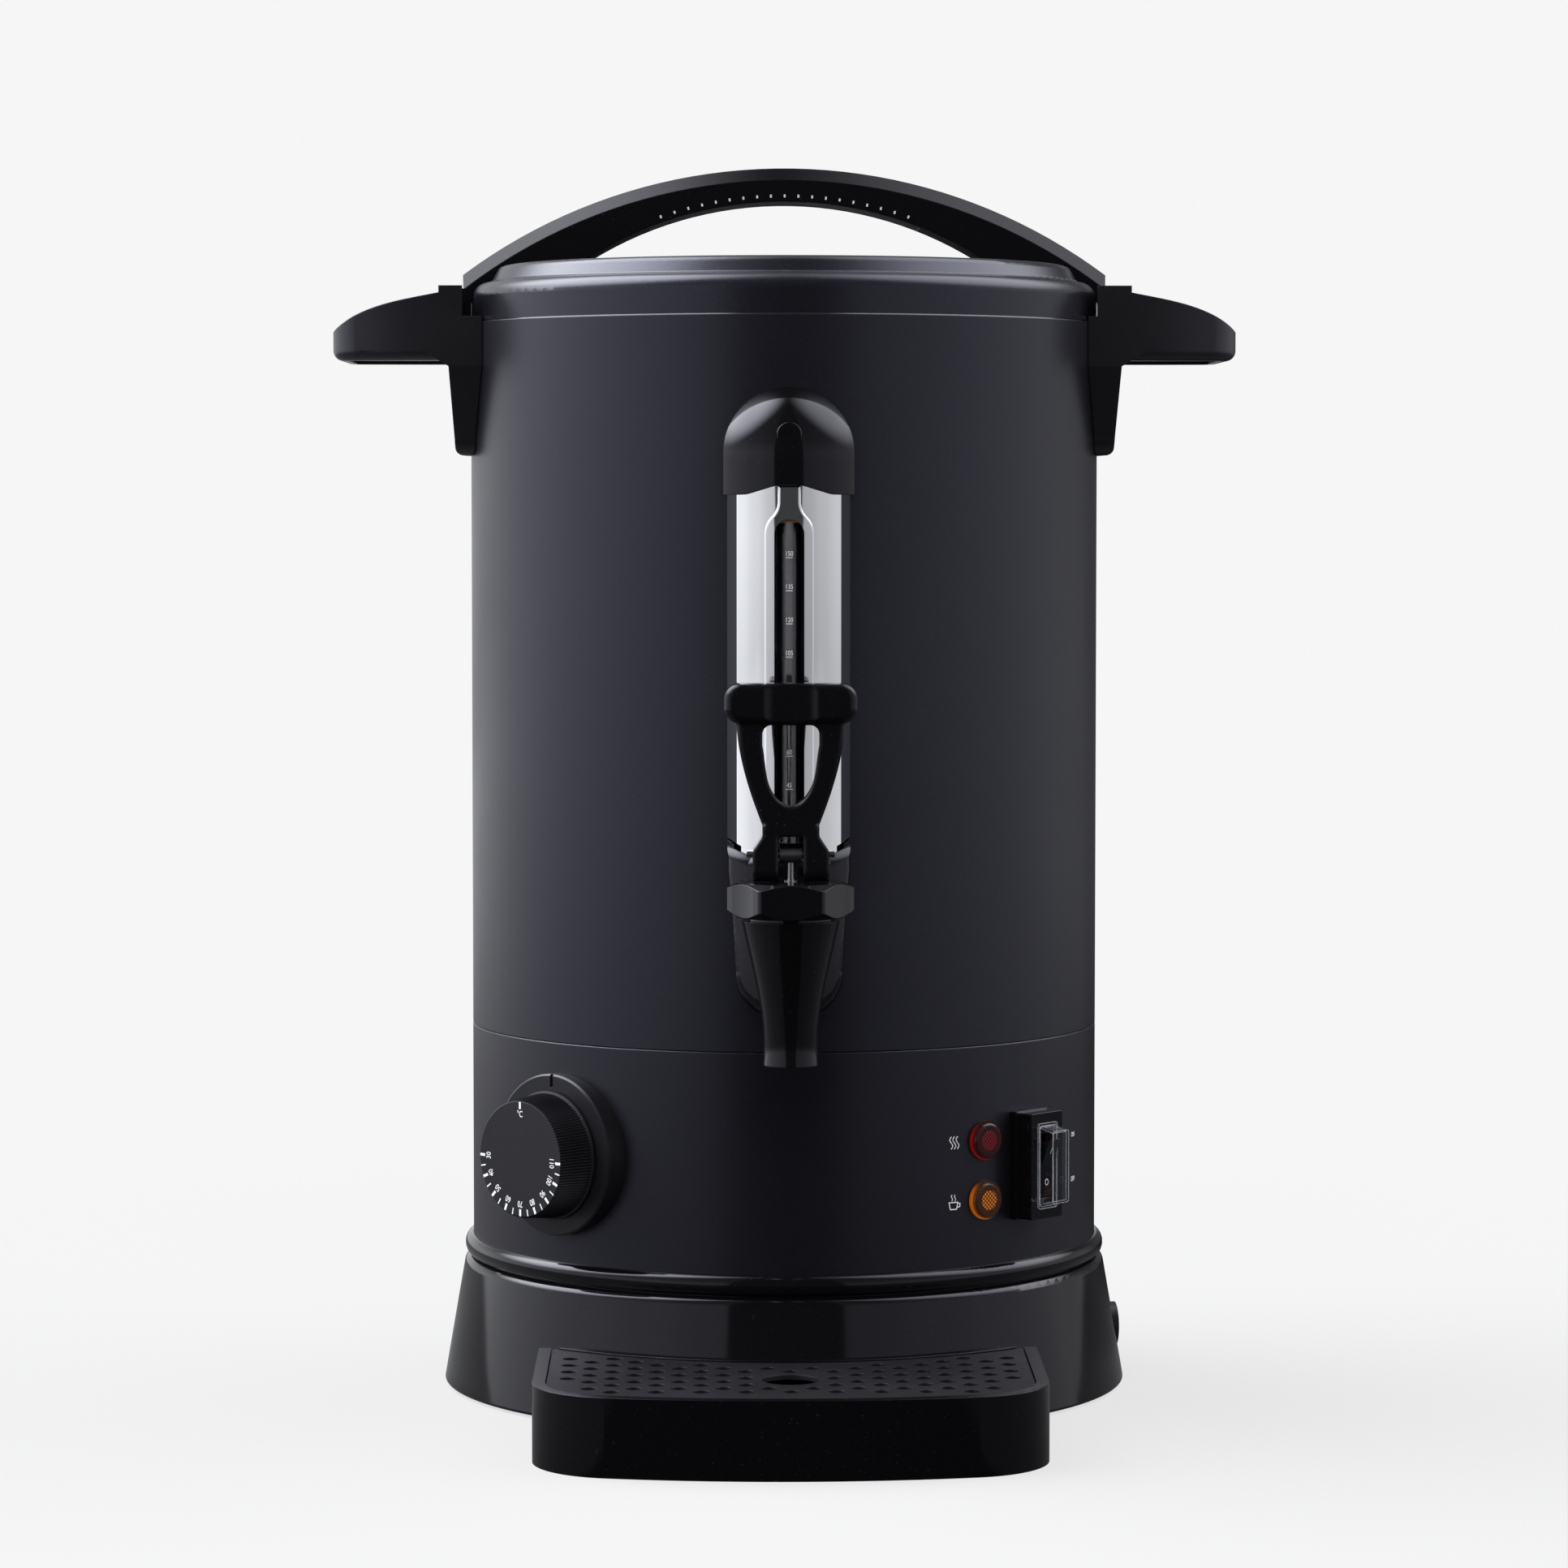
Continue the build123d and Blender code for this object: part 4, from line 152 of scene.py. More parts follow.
studio_panels, ends_in, ends_out = new_group("studio_panels", {"Direction": None}, ("Level",))
split = studio_panels.nodes.new("ShaderNodeSeparateXYZ")
studio_panels.links.new(ends_in.outputs["Direction"], split.inputs["Vector"])
towards_lens = math_node(studio_panels, "MULTIPLY", split.outputs["Y"], -1)
turn = math_node(studio_panels, "ARCTAN2", split.outputs["X"], towards_lens)
turn_degrees = math_node(studio_panels, "DEGREES", turn)
around = level_ramp(studio_panels, turn_degrees, -180, 180, panel_levels, panel_scale)
upward = level_ramp(studio_panels, split.outputs["Z"], -1, 1, height_levels, 1)
level = math_node(studio_panels, "MULTIPLY", around, upward)
for box_direction, box_edge, box_core, box_level in soft_boxes:
    aimed = Vector(box_direction).normalized()
    dot = vector_math(studio_panels, "DOT_PRODUCT", ends_in.outputs["Direction"], aimed)
    spot = smooth_step(studio_panels, dot.outputs["Value"], box_edge, box_core)
    level = math_node(studio_panels, "MULTIPLY_ADD", spot, box_level, level)
studio_panels.links.new(level, ends_out.inputs["Level"])


def seen_mask(tree):
    """1 for what the lens sees straight or through glass, 0 for what lights or mirrors."""
    path = tree.nodes.new("ShaderNodeLightPath")
    return math_node(
        tree, "MAXIMUM", path.outputs["Is Camera Ray"], path.outputs["Is Transmission Ray"]
    )


def panels_level(tree, direction):
    """Places the studio's panels in a tree and returns their level for a direction."""
    node = tree.nodes.new("ShaderNodeGroup")
    node.node_tree = studio_panels
    tree.links.new(direction, node.inputs["Direction"])
    return node.outputs["Level"]


def mix_shader(tree, mask, first, second):
    """Mixes two shaders' outputs by a mask; returns the result."""
    node = tree.nodes.new("ShaderNodeMixShader")
    tree.links.new(mask, node.inputs["Fac"])
    tree.links.new(first, node.inputs[1])
    tree.links.new(second, node.inputs[2])
    return node.outputs["Shader"]


room = bpy.data.worlds.new("studio_room")
room.use_nodes = True
tree = room.node_tree
tree.nodes.clear()
room_out = tree.nodes.new("ShaderNodeOutputWorld")
room_light = tree.nodes.new("ShaderNodeBackground")
room_light.inputs["Color"].default_value = (*studio_tint, 1)
room_white = tree.nodes.new("ShaderNodeBackground")
room_white.inputs["Color"].default_value = (background_grey, background_grey, background_grey, 1)
compass = tree.nodes.new("ShaderNodeTexCoord")
tree.links.new(panels_level(tree, compass.outputs["Generated"]), room_light.inputs["Strength"])
room_mix = mix_shader(
    tree, seen_mask(tree), room_light.outputs["Background"], room_white.outputs["Background"]
)
tree.links.new(room_mix, room_out.inputs["Surface"])
scene.world = room

half = table_size / 2
table_mesh = bpy.data.meshes.new("table")
table_mesh.from_pydata(
    [(-half, -half, 0), (half, -half, 0), (half, half, 0), (-half, half, 0)], [], [(0, 1, 2, 3)]
)
table = bpy.data.objects.new("table", table_mesh)
scene.collection.objects.link(table)
table_finish = bpy.data.materials.new("table_top")
table_finish.use_nodes = True
table_finish.cycles.emission_sampling = "NONE"
tree = table_finish.node_tree
tree.nodes.clear()
table_out = tree.nodes.new("ShaderNodeOutputMaterial")
place = tree.nodes.new("ShaderNodeNewGeometry")
distance = vector_math(tree, "LENGTH", place.outputs["Position"])
far = smooth_step(tree, distance.outputs["Value"], table_blend_start, table_blend_end)
table_matt = tree.nodes.new("ShaderNodeBsdfDiffuse")
table_matt.inputs["Color"].default_value = (table_albedo, table_albedo, table_albedo, 1)
table_glow = tree.nodes.new("ShaderNodeEmission")
table_glow.inputs["Strength"].default_value = table_own_light
table_top = tree.nodes.new("ShaderNodeAddShader")
tree.links.new(table_matt.outputs["BSDF"], table_top.inputs[0])
tree.links.new(table_glow.outputs["Emission"], table_top.inputs[1])
table_far = tree.nodes.new("ShaderNodeEmission")
table_far.inputs["Color"].default_value = (background_grey, background_grey, background_grey, 1)
seen_table = mix_shader(
    tree, far, table_top.outputs["Shader"], table_far.outputs["Emission"]
)
table_light = tree.nodes.new("ShaderNodeEmission")
table_light.inputs["Color"].default_value = (*studio_tint, 1)
from_centre = vector_math(tree, "NORMALIZE", place.outputs["Position"])
standing = smooth_step(tree, distance.outputs["Value"], panels_near, panels_far)
table_share = math_node(
    tree, "MULTIPLY_ADD", standing, 1 - table_in_reflections, table_in_reflections
)
table_level = math_node(
    tree, "MULTIPLY", panels_level(tree, from_centre.outputs["Vector"]), table_share
)
tree.links.new(table_level, table_light.inputs["Strength"])
table_mix = mix_shader(tree, seen_mask(tree), table_light.outputs["Emission"], seen_table)
tree.links.new(table_mix, table_out.inputs["Surface"])
table_mesh.materials.append(table_finish)

fill_light = bpy.data.lights.new("fill", "AREA")
fill_light.shape = "RECTANGLE"
fill_light.size = fill_size
fill_light.size_y = fill_size
fill_light.energy = fill_radiance * math.pi * fill_size * fill_size
fill = bpy.data.objects.new("fill", fill_light)
fill.location = fill_place
fill.rotation_euler = (Vector(fill_place) - Vector(fill_aim)).to_track_quat("Z", "Y").to_euler()
fill.visible_camera = False
fill.visible_glossy = False
scene.collection.objects.link(fill)

lens = bpy.data.cameras.new("lens")
lens.lens = lens_length
camera = bpy.data.objects.new("camera", lens)
camera.location = (lens_side, -lens_distance, lens_height)
camera.rotation_euler = (math.radians(90 - lens_dip), 0, math.radians(lens_turn))
scene.collection.objects.link(camera)
scene.camera = camera


# The foot of the dispenser. A glossy injection-moulded skirt carries the tank, closed
# below by a moulded plate on rubber feet that steel screws hold, with a thin ring on
# top and a gland for the lead on its right.
plastic_specular = 0.35
plastic_tint = (0.86, 0.86, 1.0, 1)
plastic_bump = 0.5
noise_low = 0.3
noise_high = 0.7
smear_scale = 26.0
speck_scale = 900.0
speck_low = 0.70
speck_high = 0.80
dust_patch_scale = 14.0
edge_samples = 4


def new_finish(name, colour, roughness, metallic=0.0, **constants):
    """A Principled finish; the constants are set on the shader's own sockets."""
    material = bpy.data.materials.new(name)
    material.use_nodes = True
    shader = material.node_tree.nodes["Principled BSDF"]
    shader.inputs["Base Color"].default_value = (*colour, 1)
    shader.inputs["Roughness"].default_value = roughness
    shader.inputs["Metallic"].default_value = metallic
    for socket, value in constants.items():
        shader.inputs[socket.replace("_", " ")].default_value = value
    return material


def dress(material, *nodes):
    """Gives CAD nodes a finish."""
    for node in nodes:
        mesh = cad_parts[node].data
        mesh.materials.clear()
        mesh.materials.append(material)


def noise_node(tree, vector, scale, detail=2.0, roughness=0.5):
    """A noise texture over a vector; returns its value."""
    node = tree.nodes.new("ShaderNodeTexNoise")
    node.inputs["Scale"].default_value = scale
    node.inputs["Detail"].default_value = detail
    node.inputs["Roughness"].default_value = roughness
    tree.links.new(vector, node.inputs["Vector"])
    return node.outputs["Fac"]


def spread(tree, value, low, high):
    """Maps the usual range of a noise value onto another range."""
    node = tree.nodes.new("ShaderNodeMapRange")
    tree.links.new(value, node.inputs["Value"])
    node.inputs["From Min"].default_value = noise_low
    node.inputs["From Max"].default_value = noise_high
    for socket, limit in (("To Min", low), ("To Max", high)):
        if isinstance(limit, bpy.types.NodeSocket):
            tree.links.new(limit, node.inputs[socket])
        else:
            node.inputs[socket].default_value = limit
    return node.outputs["Result"]


# Moulded plastic: a very fine texture, slow waves from cooling and faint dust
moulded_skin, ends_in, ends_out = new_group(
    "moulded_skin",
    {"Vector": None, "Gloss": 0.05, "Haze": 0.10, "Grain Scale": 2600.0},
    ("Roughness", "Height", "Dust"),
)
tree = moulded_skin
smear = noise_node(tree, ends_in.outputs["Vector"], smear_scale, detail=4.0, roughness=0.6)
tree.links.new(
    spread(tree, smear, ends_in.outputs["Gloss"], ends_in.outputs["Haze"]),
    ends_out.inputs["Roughness"],
)
grain = tree.nodes.new("ShaderNodeTexNoise")
tree.links.new(ends_in.outputs["Vector"], grain.inputs["Vector"])
tree.links.new(ends_in.outputs["Grain Scale"], grain.inputs["Scale"])
tree.links.new(grain.outputs["Fac"], ends_out.inputs["Height"])
specks = noise_node(tree, ends_in.outputs["Vector"], speck_scale, detail=1.0)
patches = noise_node(tree, ends_in.outputs["Vector"], dust_patch_scale, detail=3.0)
specks = smooth_step(tree, specks, speck_low, speck_high)
tree.links.new(math_node(tree, "MULTIPLY", specks, patches), ends_out.inputs["Dust"])


def object_vector(tree):
    """Places in the piece's own metres, which are the frame's metres."""
    return tree.nodes.new("ShaderNodeTexCoord").outputs["Object"]


def mix_colour(tree, mask, first, second, shader):
    """Feeds the base colour with two colours mixed by a mask."""
    node = tree.nodes.new("ShaderNodeMix")
    node.data_type = "RGBA"
    tree.links.new(mask, node.inputs["Factor"])
    for socket, colour in (("A", first), ("B", second)):
        place = [s for s in node.inputs if s.name == socket and s.type == "RGBA"][0]
        if isinstance(colour, bpy.types.NodeSocket):
            tree.links.new(colour, place)
        else:
            place.default_value = (*colour, 1)
    result = [s for s in node.outputs if s.type == "RGBA"][0]
    if shader:
        tree.links.new(result, shader.inputs["Base Color"])
    return result


def bump(tree, height, depth, strength, shader, rounding=0.0):
    """Feeds the normal with a bump of a real depth, over edges rounded by a radius."""
    node = tree.nodes.new("ShaderNodeBump")
    node.inputs["Distance"].default_value = depth
    node.inputs["Strength"].default_value = strength
    tree.links.new(height, node.inputs["Height"])
    if rounding:
        edge = tree.nodes.new("ShaderNodeBevel")
        edge.samples = edge_samples
        edge.inputs["Radius"].default_value = rounding
        tree.links.new(edge.outputs["Normal"], node.inputs["Normal"])
    tree.links.new(node.outputs["Normal"], shader.inputs["Normal"])


def moulded(
    name, colour, dust_colour, gloss, haze, grain_depth, rounding=0.0, grain_scale=2600.0,
    specular=plastic_specular,
):
    """A plastic moulding's finish."""
    material = new_finish(
        name, colour, gloss, Specular_IOR_Level=specular, Specular_Tint=plastic_tint
    )
    tree = material.node_tree
    shader = tree.nodes["Principled BSDF"]
    skin = tree.nodes.new("ShaderNodeGroup")
    skin.node_tree = moulded_skin
    skin.inputs["Gloss"].default_value = gloss
    skin.inputs["Haze"].default_value = haze
    skin.inputs["Grain Scale"].default_value = grain_scale
    tree.links.new(object_vector(tree), skin.inputs["Vector"])
    tree.links.new(skin.outputs["Roughness"], shader.inputs["Roughness"])
    mix_colour(tree, skin.outputs["Dust"], colour, dust_colour, shader)
    bump(tree, skin.outputs["Height"], grain_depth, plastic_bump, shader, rounding)
    return material


gloss_black = moulded(
    "gloss_black",
    colour=(0.0035, 0.0035, 0.0042), dust_colour=(0.03, 0.03, 0.034),
    gloss=0.045, haze=0.09, grain_depth=0.000004, rounding=0.0005,
)
satin_black = moulded(
    "satin_black",
    colour=(0.010, 0.010, 0.012), dust_colour=(0.04, 0.04, 0.045),
    gloss=0.30, haze=0.40, grain_depth=0.00003, rounding=0.0003, grain_scale=1600.0,
)
foot_rubber = moulded(
    "foot_rubber",
    colour=(0.020, 0.020, 0.021), dust_colour=(0.05, 0.05, 0.05),
    gloss=0.62, haze=0.75, grain_depth=0.00005, rounding=0.0004, grain_scale=1200.0,
)

# Steel: drawn or turned sheet with fine lines that run round the axis
line_stretch = (30.0, 30.0, 5200.0)
stain_scale = 18.0
steel_bump = 0.4
drawn_lines, ends_in, ends_out = new_group(
    "drawn_lines", {"Vector": None, "Gloss": 0.2, "Haze": 0.3}, ("Roughness", "Height", "Tone")
)
tree = drawn_lines
stretch = vector_math(tree, "MULTIPLY", ends_in.outputs["Vector"], line_stretch)
lines = noise_node(tree, stretch.outputs["Vector"], scale=1.0, detail=3.0)
tree.links.new(lines, ends_out.inputs["Height"])
tree.links.new(
    spread(tree, lines, ends_in.outputs["Gloss"], ends_in.outputs["Haze"]),
    ends_out.inputs["Roughness"],
)
stains = noise_node(tree, ends_in.outputs["Vector"], stain_scale, detail=3.0)
tree.links.new(stains, ends_out.inputs["Tone"])


def steel(name, colour, shade, gloss, haze, depth, rounding=0.0):
    """A steel finish with drawn lines."""
    material = new_finish(name, colour, gloss, metallic=1.0)
    tree = material.node_tree
    shader = tree.nodes["Principled BSDF"]
    drawn = tree.nodes.new("ShaderNodeGroup")
    drawn.node_tree = drawn_lines
    drawn.inputs["Gloss"].default_value = gloss
    drawn.inputs["Haze"].default_value = haze
    tree.links.new(object_vector(tree), drawn.inputs["Vector"])
    tree.links.new(drawn.outputs["Roughness"], shader.inputs["Roughness"])
    mix_colour(tree, drawn.outputs["Tone"], colour, shade, shader)
    bump(tree, drawn.outputs["Height"], depth, steel_bump, shader, rounding)
    return material


bright_steel = steel(
    "bright_steel",
    colour=(0.60, 0.60, 0.61), shade=(0.52, 0.52, 0.53),
    gloss=0.20, haze=0.34, depth=0.00001, rounding=0.0002,
)

dress(gloss_black, "base_skirt", "base_ring")
dress(satin_black, "base_plate", "cord_gland", "gland_nut")
dress(foot_rubber, "feet")
dress(bright_steel, "base_screws")

# The control band and the parts behind it. The band is a sheet-steel ring, sprayed with
# the same blue-black satin enamel as the tank; the heater's terminals, element and
# cut-outs sit under the tank's bottom and don't show.
enamel_specular = 0.56
enamel_tint = (0.78, 0.80, 1.0, 1)
enamel_bump = 0.5
peel_scale = 420.0
peel_share = 0.8
fine_scale = 2400.0
fine_share = 0.55
cloud_scale = 16.0
fleck_low = 0.56
fleck_high = 0.74
enamel_grain, ends_in, ends_out = new_group(
    "enamel_grain",
    {"Vector": None, "Gloss": 0.38, "Haze": 0.46},
    ("Roughness", "Height", "Fleck"),
)
tree = enamel_grain
orange_peel = noise_node(tree, ends_in.outputs["Vector"], peel_scale)
fine = noise_node(tree, ends_in.outputs["Vector"], fine_scale, detail=1.0)
orange_peel = math_node(tree, "MULTIPLY", orange_peel, peel_share)
peel = math_node(tree, "MULTIPLY_ADD", fine, fine_share, orange_peel)
tree.links.new(peel, ends_out.inputs["Height"])
cloud = noise_node(tree, ends_in.outputs["Vector"], cloud_scale, detail=4.0)
tree.links.new(
    spread(tree, cloud, ends_in.outputs["Gloss"], ends_in.outputs["Haze"]),
    ends_out.inputs["Roughness"],
)
tree.links.new(smooth_step(tree, fine, fleck_low, fleck_high), ends_out.inputs["Fleck"])


def enamel(name, colour, fleck_colour, gloss, haze, depth):
    """A sprayed and baked enamel's finish."""
    material = new_finish(
        name, colour, gloss, Specular_IOR_Level=enamel_specular, Specular_Tint=enamel_tint
    )
    tree = material.node_tree
    shader = tree.nodes["Principled BSDF"]
    sprayed = tree.nodes.new("ShaderNodeGroup")
    sprayed.node_tree = enamel_grain
    sprayed.inputs["Gloss"].default_value = gloss
    sprayed.inputs["Haze"].default_value = haze
    tree.links.new(object_vector(tree), sprayed.inputs["Vector"])
    tree.links.new(sprayed.outputs["Roughness"], shader.inputs["Roughness"])
    mix_colour(tree, sprayed.outputs["Fleck"], colour, fleck_colour, shader)
    bump(tree, sprayed.outputs["Height"], depth, enamel_bump, shader)
    return material


band_black = enamel(
    "band_black",
    colour=(0.0050, 0.0048, 0.0070), fleck_colour=(0.012, 0.012, 0.016),
    gloss=0.29, haze=0.36, depth=0.00004,
)
heater_sheath = steel(
    "heater_sheath",
    colour=(0.42, 0.41, 0.40), shade=(0.30, 0.29, 0.28),
    gloss=0.38, haze=0.5, depth=0.00002,
)
dress(band_black, "control_band")
dress(heater_sheath, "heating_element", "thermostat_bulb")
dress(satin_black, "terminal_block", "thermostat_body", "dry_boil_cutout")
dress(bright_steel, "thermostat_nut")

# The temperature knob. A moulded knob with fine ribs all round and a flat face, pressed
# on the thermostat's flatted shaft, in front of a round moulded bezel that has a mark.
knob_azimuth = -44.0
knob_height = 0.1146
knob_back_reach = 0.1472
knob_front_reach = 0.1652
knob_back_radius = 0.0271
knob_front_radius = 0.0253
knob_edge = 0.0007
knob_edge_share = 0.3
knob_crease = 25
knob_rib_count = 128
knob_rib_depth = 0.00065
knob_rib_inset = 0.0012
print_thickness = 0.00004


def facing(azimuth, height, reach):
    """A place on the body: x to the right, y up and z outward, seen from outside."""
    turn = math.radians(azimuth)
    outward = Vector((math.sin(turn), -math.cos(turn), 0))
    right = Vector((math.cos(turn), math.sin(turn), 0))
    up = Vector((0, 0, 1))
    rows = Matrix((right, up, outward)).transposed().to_4x4()
    return Matrix.Translation(outward * reach + up * height) @ rows


def add_piece(name, builder, material, body):
    """Turns a bmesh into a piece that rides on a body."""
    mesh = bpy.data.meshes.new(name)
    bmesh.ops.recalc_face_normals(builder, faces=builder.faces)
    builder.to_mesh(mesh)
    builder.free()
    mesh.materials.append(material)
    piece = bpy.data.objects.new(name, mesh)
    scene.collection.objects.link(piece)
    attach(piece, body)
    return piece


def shade_by_angle(piece, degrees):
    """Smooth faces, with creases kept where the surface turns sharply."""
    mesh = piece.data
    mesh.polygons.foreach_set("use_smooth", [True] * len(mesh.polygons))
    builder = bmesh.new()
    builder.from_mesh(mesh)
    for edge in builder.edges:
        if len(edge.link_faces) == 2 and edge.calc_face_angle() > math.radians(degrees):
            edge.smooth = False
    builder.to_mesh(mesh)
    builder.free()


def knob_rings():
    """The knob's outline from the back's centre to the face's centre: reach, radius, ribs."""
    def side(reach):
        share = (reach - knob_back_reach) / (knob_front_reach - knob_back_reach)
        return knob_back_radius + share * (knob_front_radius - knob_back_radius)

    ribs_back = knob_back_reach + knob_rib_inset
    ribs_front = knob_front_reach - knob_edge
    flange = knob_back_radius + knob_rib_depth
    eased = knob_edge * knob_edge_share
    return (
        (knob_back_reach, flange - knob_edge, 0),
        (knob_back_reach + knob_edge / 2, flange, 0),
        (ribs_back, flange, 0),
        (ribs_back + knob_edge / 3, side(ribs_back), 0),
        (ribs_back + knob_edge, side(ribs_back), 1),
        ((ribs_back + ribs_front) / 2, side((ribs_back + ribs_front) / 2), 1),
        (ribs_front, side(ribs_front), 1),
        (knob_front_reach - eased, knob_front_radius - eased, 0.9),
        (knob_front_reach, knob_front_radius - knob_edge, 0),
    )


steps_per_rib = 4
steps = knob_rib_count * steps_per_rib
builder = bmesh.new()
rings = []
knob_frame = facing(knob_azimuth, knob_height, 0)
for reach, radius, ribbed in knob_rings():
    ring = []
    for step in range(steps):
        angle = 2 * math.pi * step / steps
        groove = (1 - math.cos(2 * math.pi * step / steps_per_rib)) / 2
        spoke = radius - ribbed * knob_rib_depth * groove
        point = knob_frame @ Vector((spoke * math.cos(angle), spoke * math.sin(angle), reach))
        ring.append(builder.verts.new(point))
    rings.append(ring)
for lower, upper in zip(rings, rings[1:]):
    for step in range(steps):
        after = (step + 1) % steps
        builder.faces.new((lower[step], lower[after], upper[after], upper[step]))
builder.faces.new(rings[0])
builder.faces.new(rings[-1])
knob_black = moulded(
    "knob_black",
    colour=(0.0085, 0.0085, 0.0105), dust_colour=(0.05, 0.05, 0.055),
    gloss=0.42, haze=0.5, grain_depth=0.00002, grain_scale=2200.0,
)
knob = add_piece("ribbed_knob", builder, knob_black, "knob")
shade_by_angle(knob, knob_crease)
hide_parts("thermostat_knob")
dress(satin_black, "thermostat_bezel", "thermostat_knob")
dress(bright_steel, "thermostat_shaft")

# The white marks. They are screen-printed with a thick ink on the knob's face, beside
# the lamps and the switch and on the gauge's tube, so each has a real thickness.
dial_tick_outer = 0.0246
dial_thick_tick = (0.0030, 0.0012)
dial_thin_tick = (0.0028, 0.0006)
dial_first = 30
dial_last = 110
dial_tick_step = 5
dial_number_step = 10
dial_number_radius = 0.0193
dial_number_height = 0.0028
letter_narrow = 0.80
letter_size = 1.37
letter_steps = 4
letter_weld = 1e-7
degrees_per_step = 22.5
first_step_angle = 180.0
ink_bold = 0.00003
ink_scale = 1500.0
ink_depth = 0.00001
ink_bump = 0.4

print_white = new_finish("print_white", (0.86, 0.87, 0.88), roughness=0.45)
tree = print_white.node_tree
shader = tree.nodes["Principled BSDF"]
ink = noise_node(tree, object_vector(tree), ink_scale, detail=3.0)
mix_colour(tree, ink, (0.90, 0.91, 0.92), (0.80, 0.81, 0.82), shader)
bump(tree, ink, ink_depth, ink_bump, shader)


def lettering(words, height, bold=ink_bold):
    """Flat letters of a real height, centred, as a bmesh in the x-y plane."""
    font = bpy.data.curves.new("letters", "FONT")
    font.body = words
    font.align_x = "CENTER"
    font.align_y = "CENTER"
    font.size = height * letter_size
    font.extrude = print_thickness / 2
    font.offset = bold
    font.resolution_u = letter_steps
    holder = bpy.data.objects.new("letters", font)
    scene.collection.objects.link(holder)
    shapes = bpy.context.evaluated_depsgraph_get()
    mesh = bpy.data.meshes.new_from_object(holder.evaluated_get(shapes))
    builder = bmesh.new()
    builder.from_mesh(mesh)
    bmesh.ops.remove_doubles(builder, verts=builder.verts, dist=letter_weld)
    bmesh.ops.scale(builder, vec=(letter_narrow, 1, 1), verts=builder.verts)
    bpy.data.objects.remove(holder)
    bpy.data.meshes.remove(mesh)
    return builder


def bar(builder, length, width, centre=(0, 0), angle=0.0):
    """A printed bar, its length along y before it is turned."""
    turn = Matrix.Translation((*centre, 0)) @ Matrix.Rotation(angle, 4, "Z")
    size = Matrix.Diagonal((width, length, print_thickness, 1))
    bmesh.ops.create_cube(builder, size=1, matrix=turn @ size)


def join(builder, other, matrix):
    """Adds one bmesh to another, moved by a matrix."""
    bmesh.ops.transform(other, matrix=matrix, verts=other.verts)
    mesh = bpy.data.meshes.new("part")
    other.to_mesh(mesh)
    other.free()
    builder.from_mesh(mesh)
    bpy.data.meshes.remove(mesh)


def polar(radius, degrees):
    """A point on the dial."""
    turn = math.radians(degrees)
    return radius * math.cos(turn), radius * math.sin(turn)


dial = bmesh.new()
for number in range(dial_first, dial_last + 1, dial_tick_step):
    numbered = number % dial_number_step == 0
    steps_on = (number - dial_first) / dial_number_step
    degrees = first_step_angle + steps_on * degrees_per_step
    length, width = dial_thick_tick if numbered else dial_thin_tick
    angle = math.radians(degrees - 90)
    bar(dial, length, width, polar(dial_tick_outer - length / 2, degrees), angle)
    if numbered:
        spot = Matrix.Translation((*polar(dial_number_radius, degrees), 0))
        turned = spot @ Matrix.Rotation(angle, 4, "Z")
        join(dial, lettering(str(number), dial_number_height), turned)
length, width = dial_thick_tick
bar(dial, length, width, (0, dial_tick_outer - length / 2))
join(dial, lettering("°C", dial_number_height), Matrix.Translation((0, dial_number_radius, 0)))
dial_place = facing(knob_azimuth, knob_height, knob_front_reach + print_thickness / 2)
bmesh.ops.transform(dial, matrix=dial_place, verts=dial.verts)
add_piece("dial_print", dial, print_white, "knob")

# The two signal lamps, not lit. Each is a moulded bush in the band with a tinted polycarbonate
# lens: a thick rim, a smooth dome and a cross-cut diffuser inside; its glow and the bright side
# of its rim are painted light.
lamp_azimuth = 37.2
lamp_heights = {"red_lamp": 0.1215, "amber_lamp": 0.0958}
lamp_centre_radius = 0.0041
lamp_dome_radius = 0.0076
lamp_cut_pitch = 0.0013
lamp_cut_low = -0.9
lamp_cut_high = 0.2
lamp_cut_depth = 0.0003
lamp_cut_bump = 0.6
lamp_blur_in = 0.0002
lamp_blur_centre = 0.0003
lamp_blur_rim = 0.0004
# Where the rim's painted highlight lies: a leaning line across the lens, with soft ends as
# shares of the dome's radius
rim_highlight_across = -0.85
rim_highlight_up = -0.5
rim_highlight_low_share = -0.2
rim_highlight_high_share = 0.9
lamp_roughness = 0.10
# The strength of the lens's painted glow, though the lamp is not lit
lamp_painted_glow = 0.35


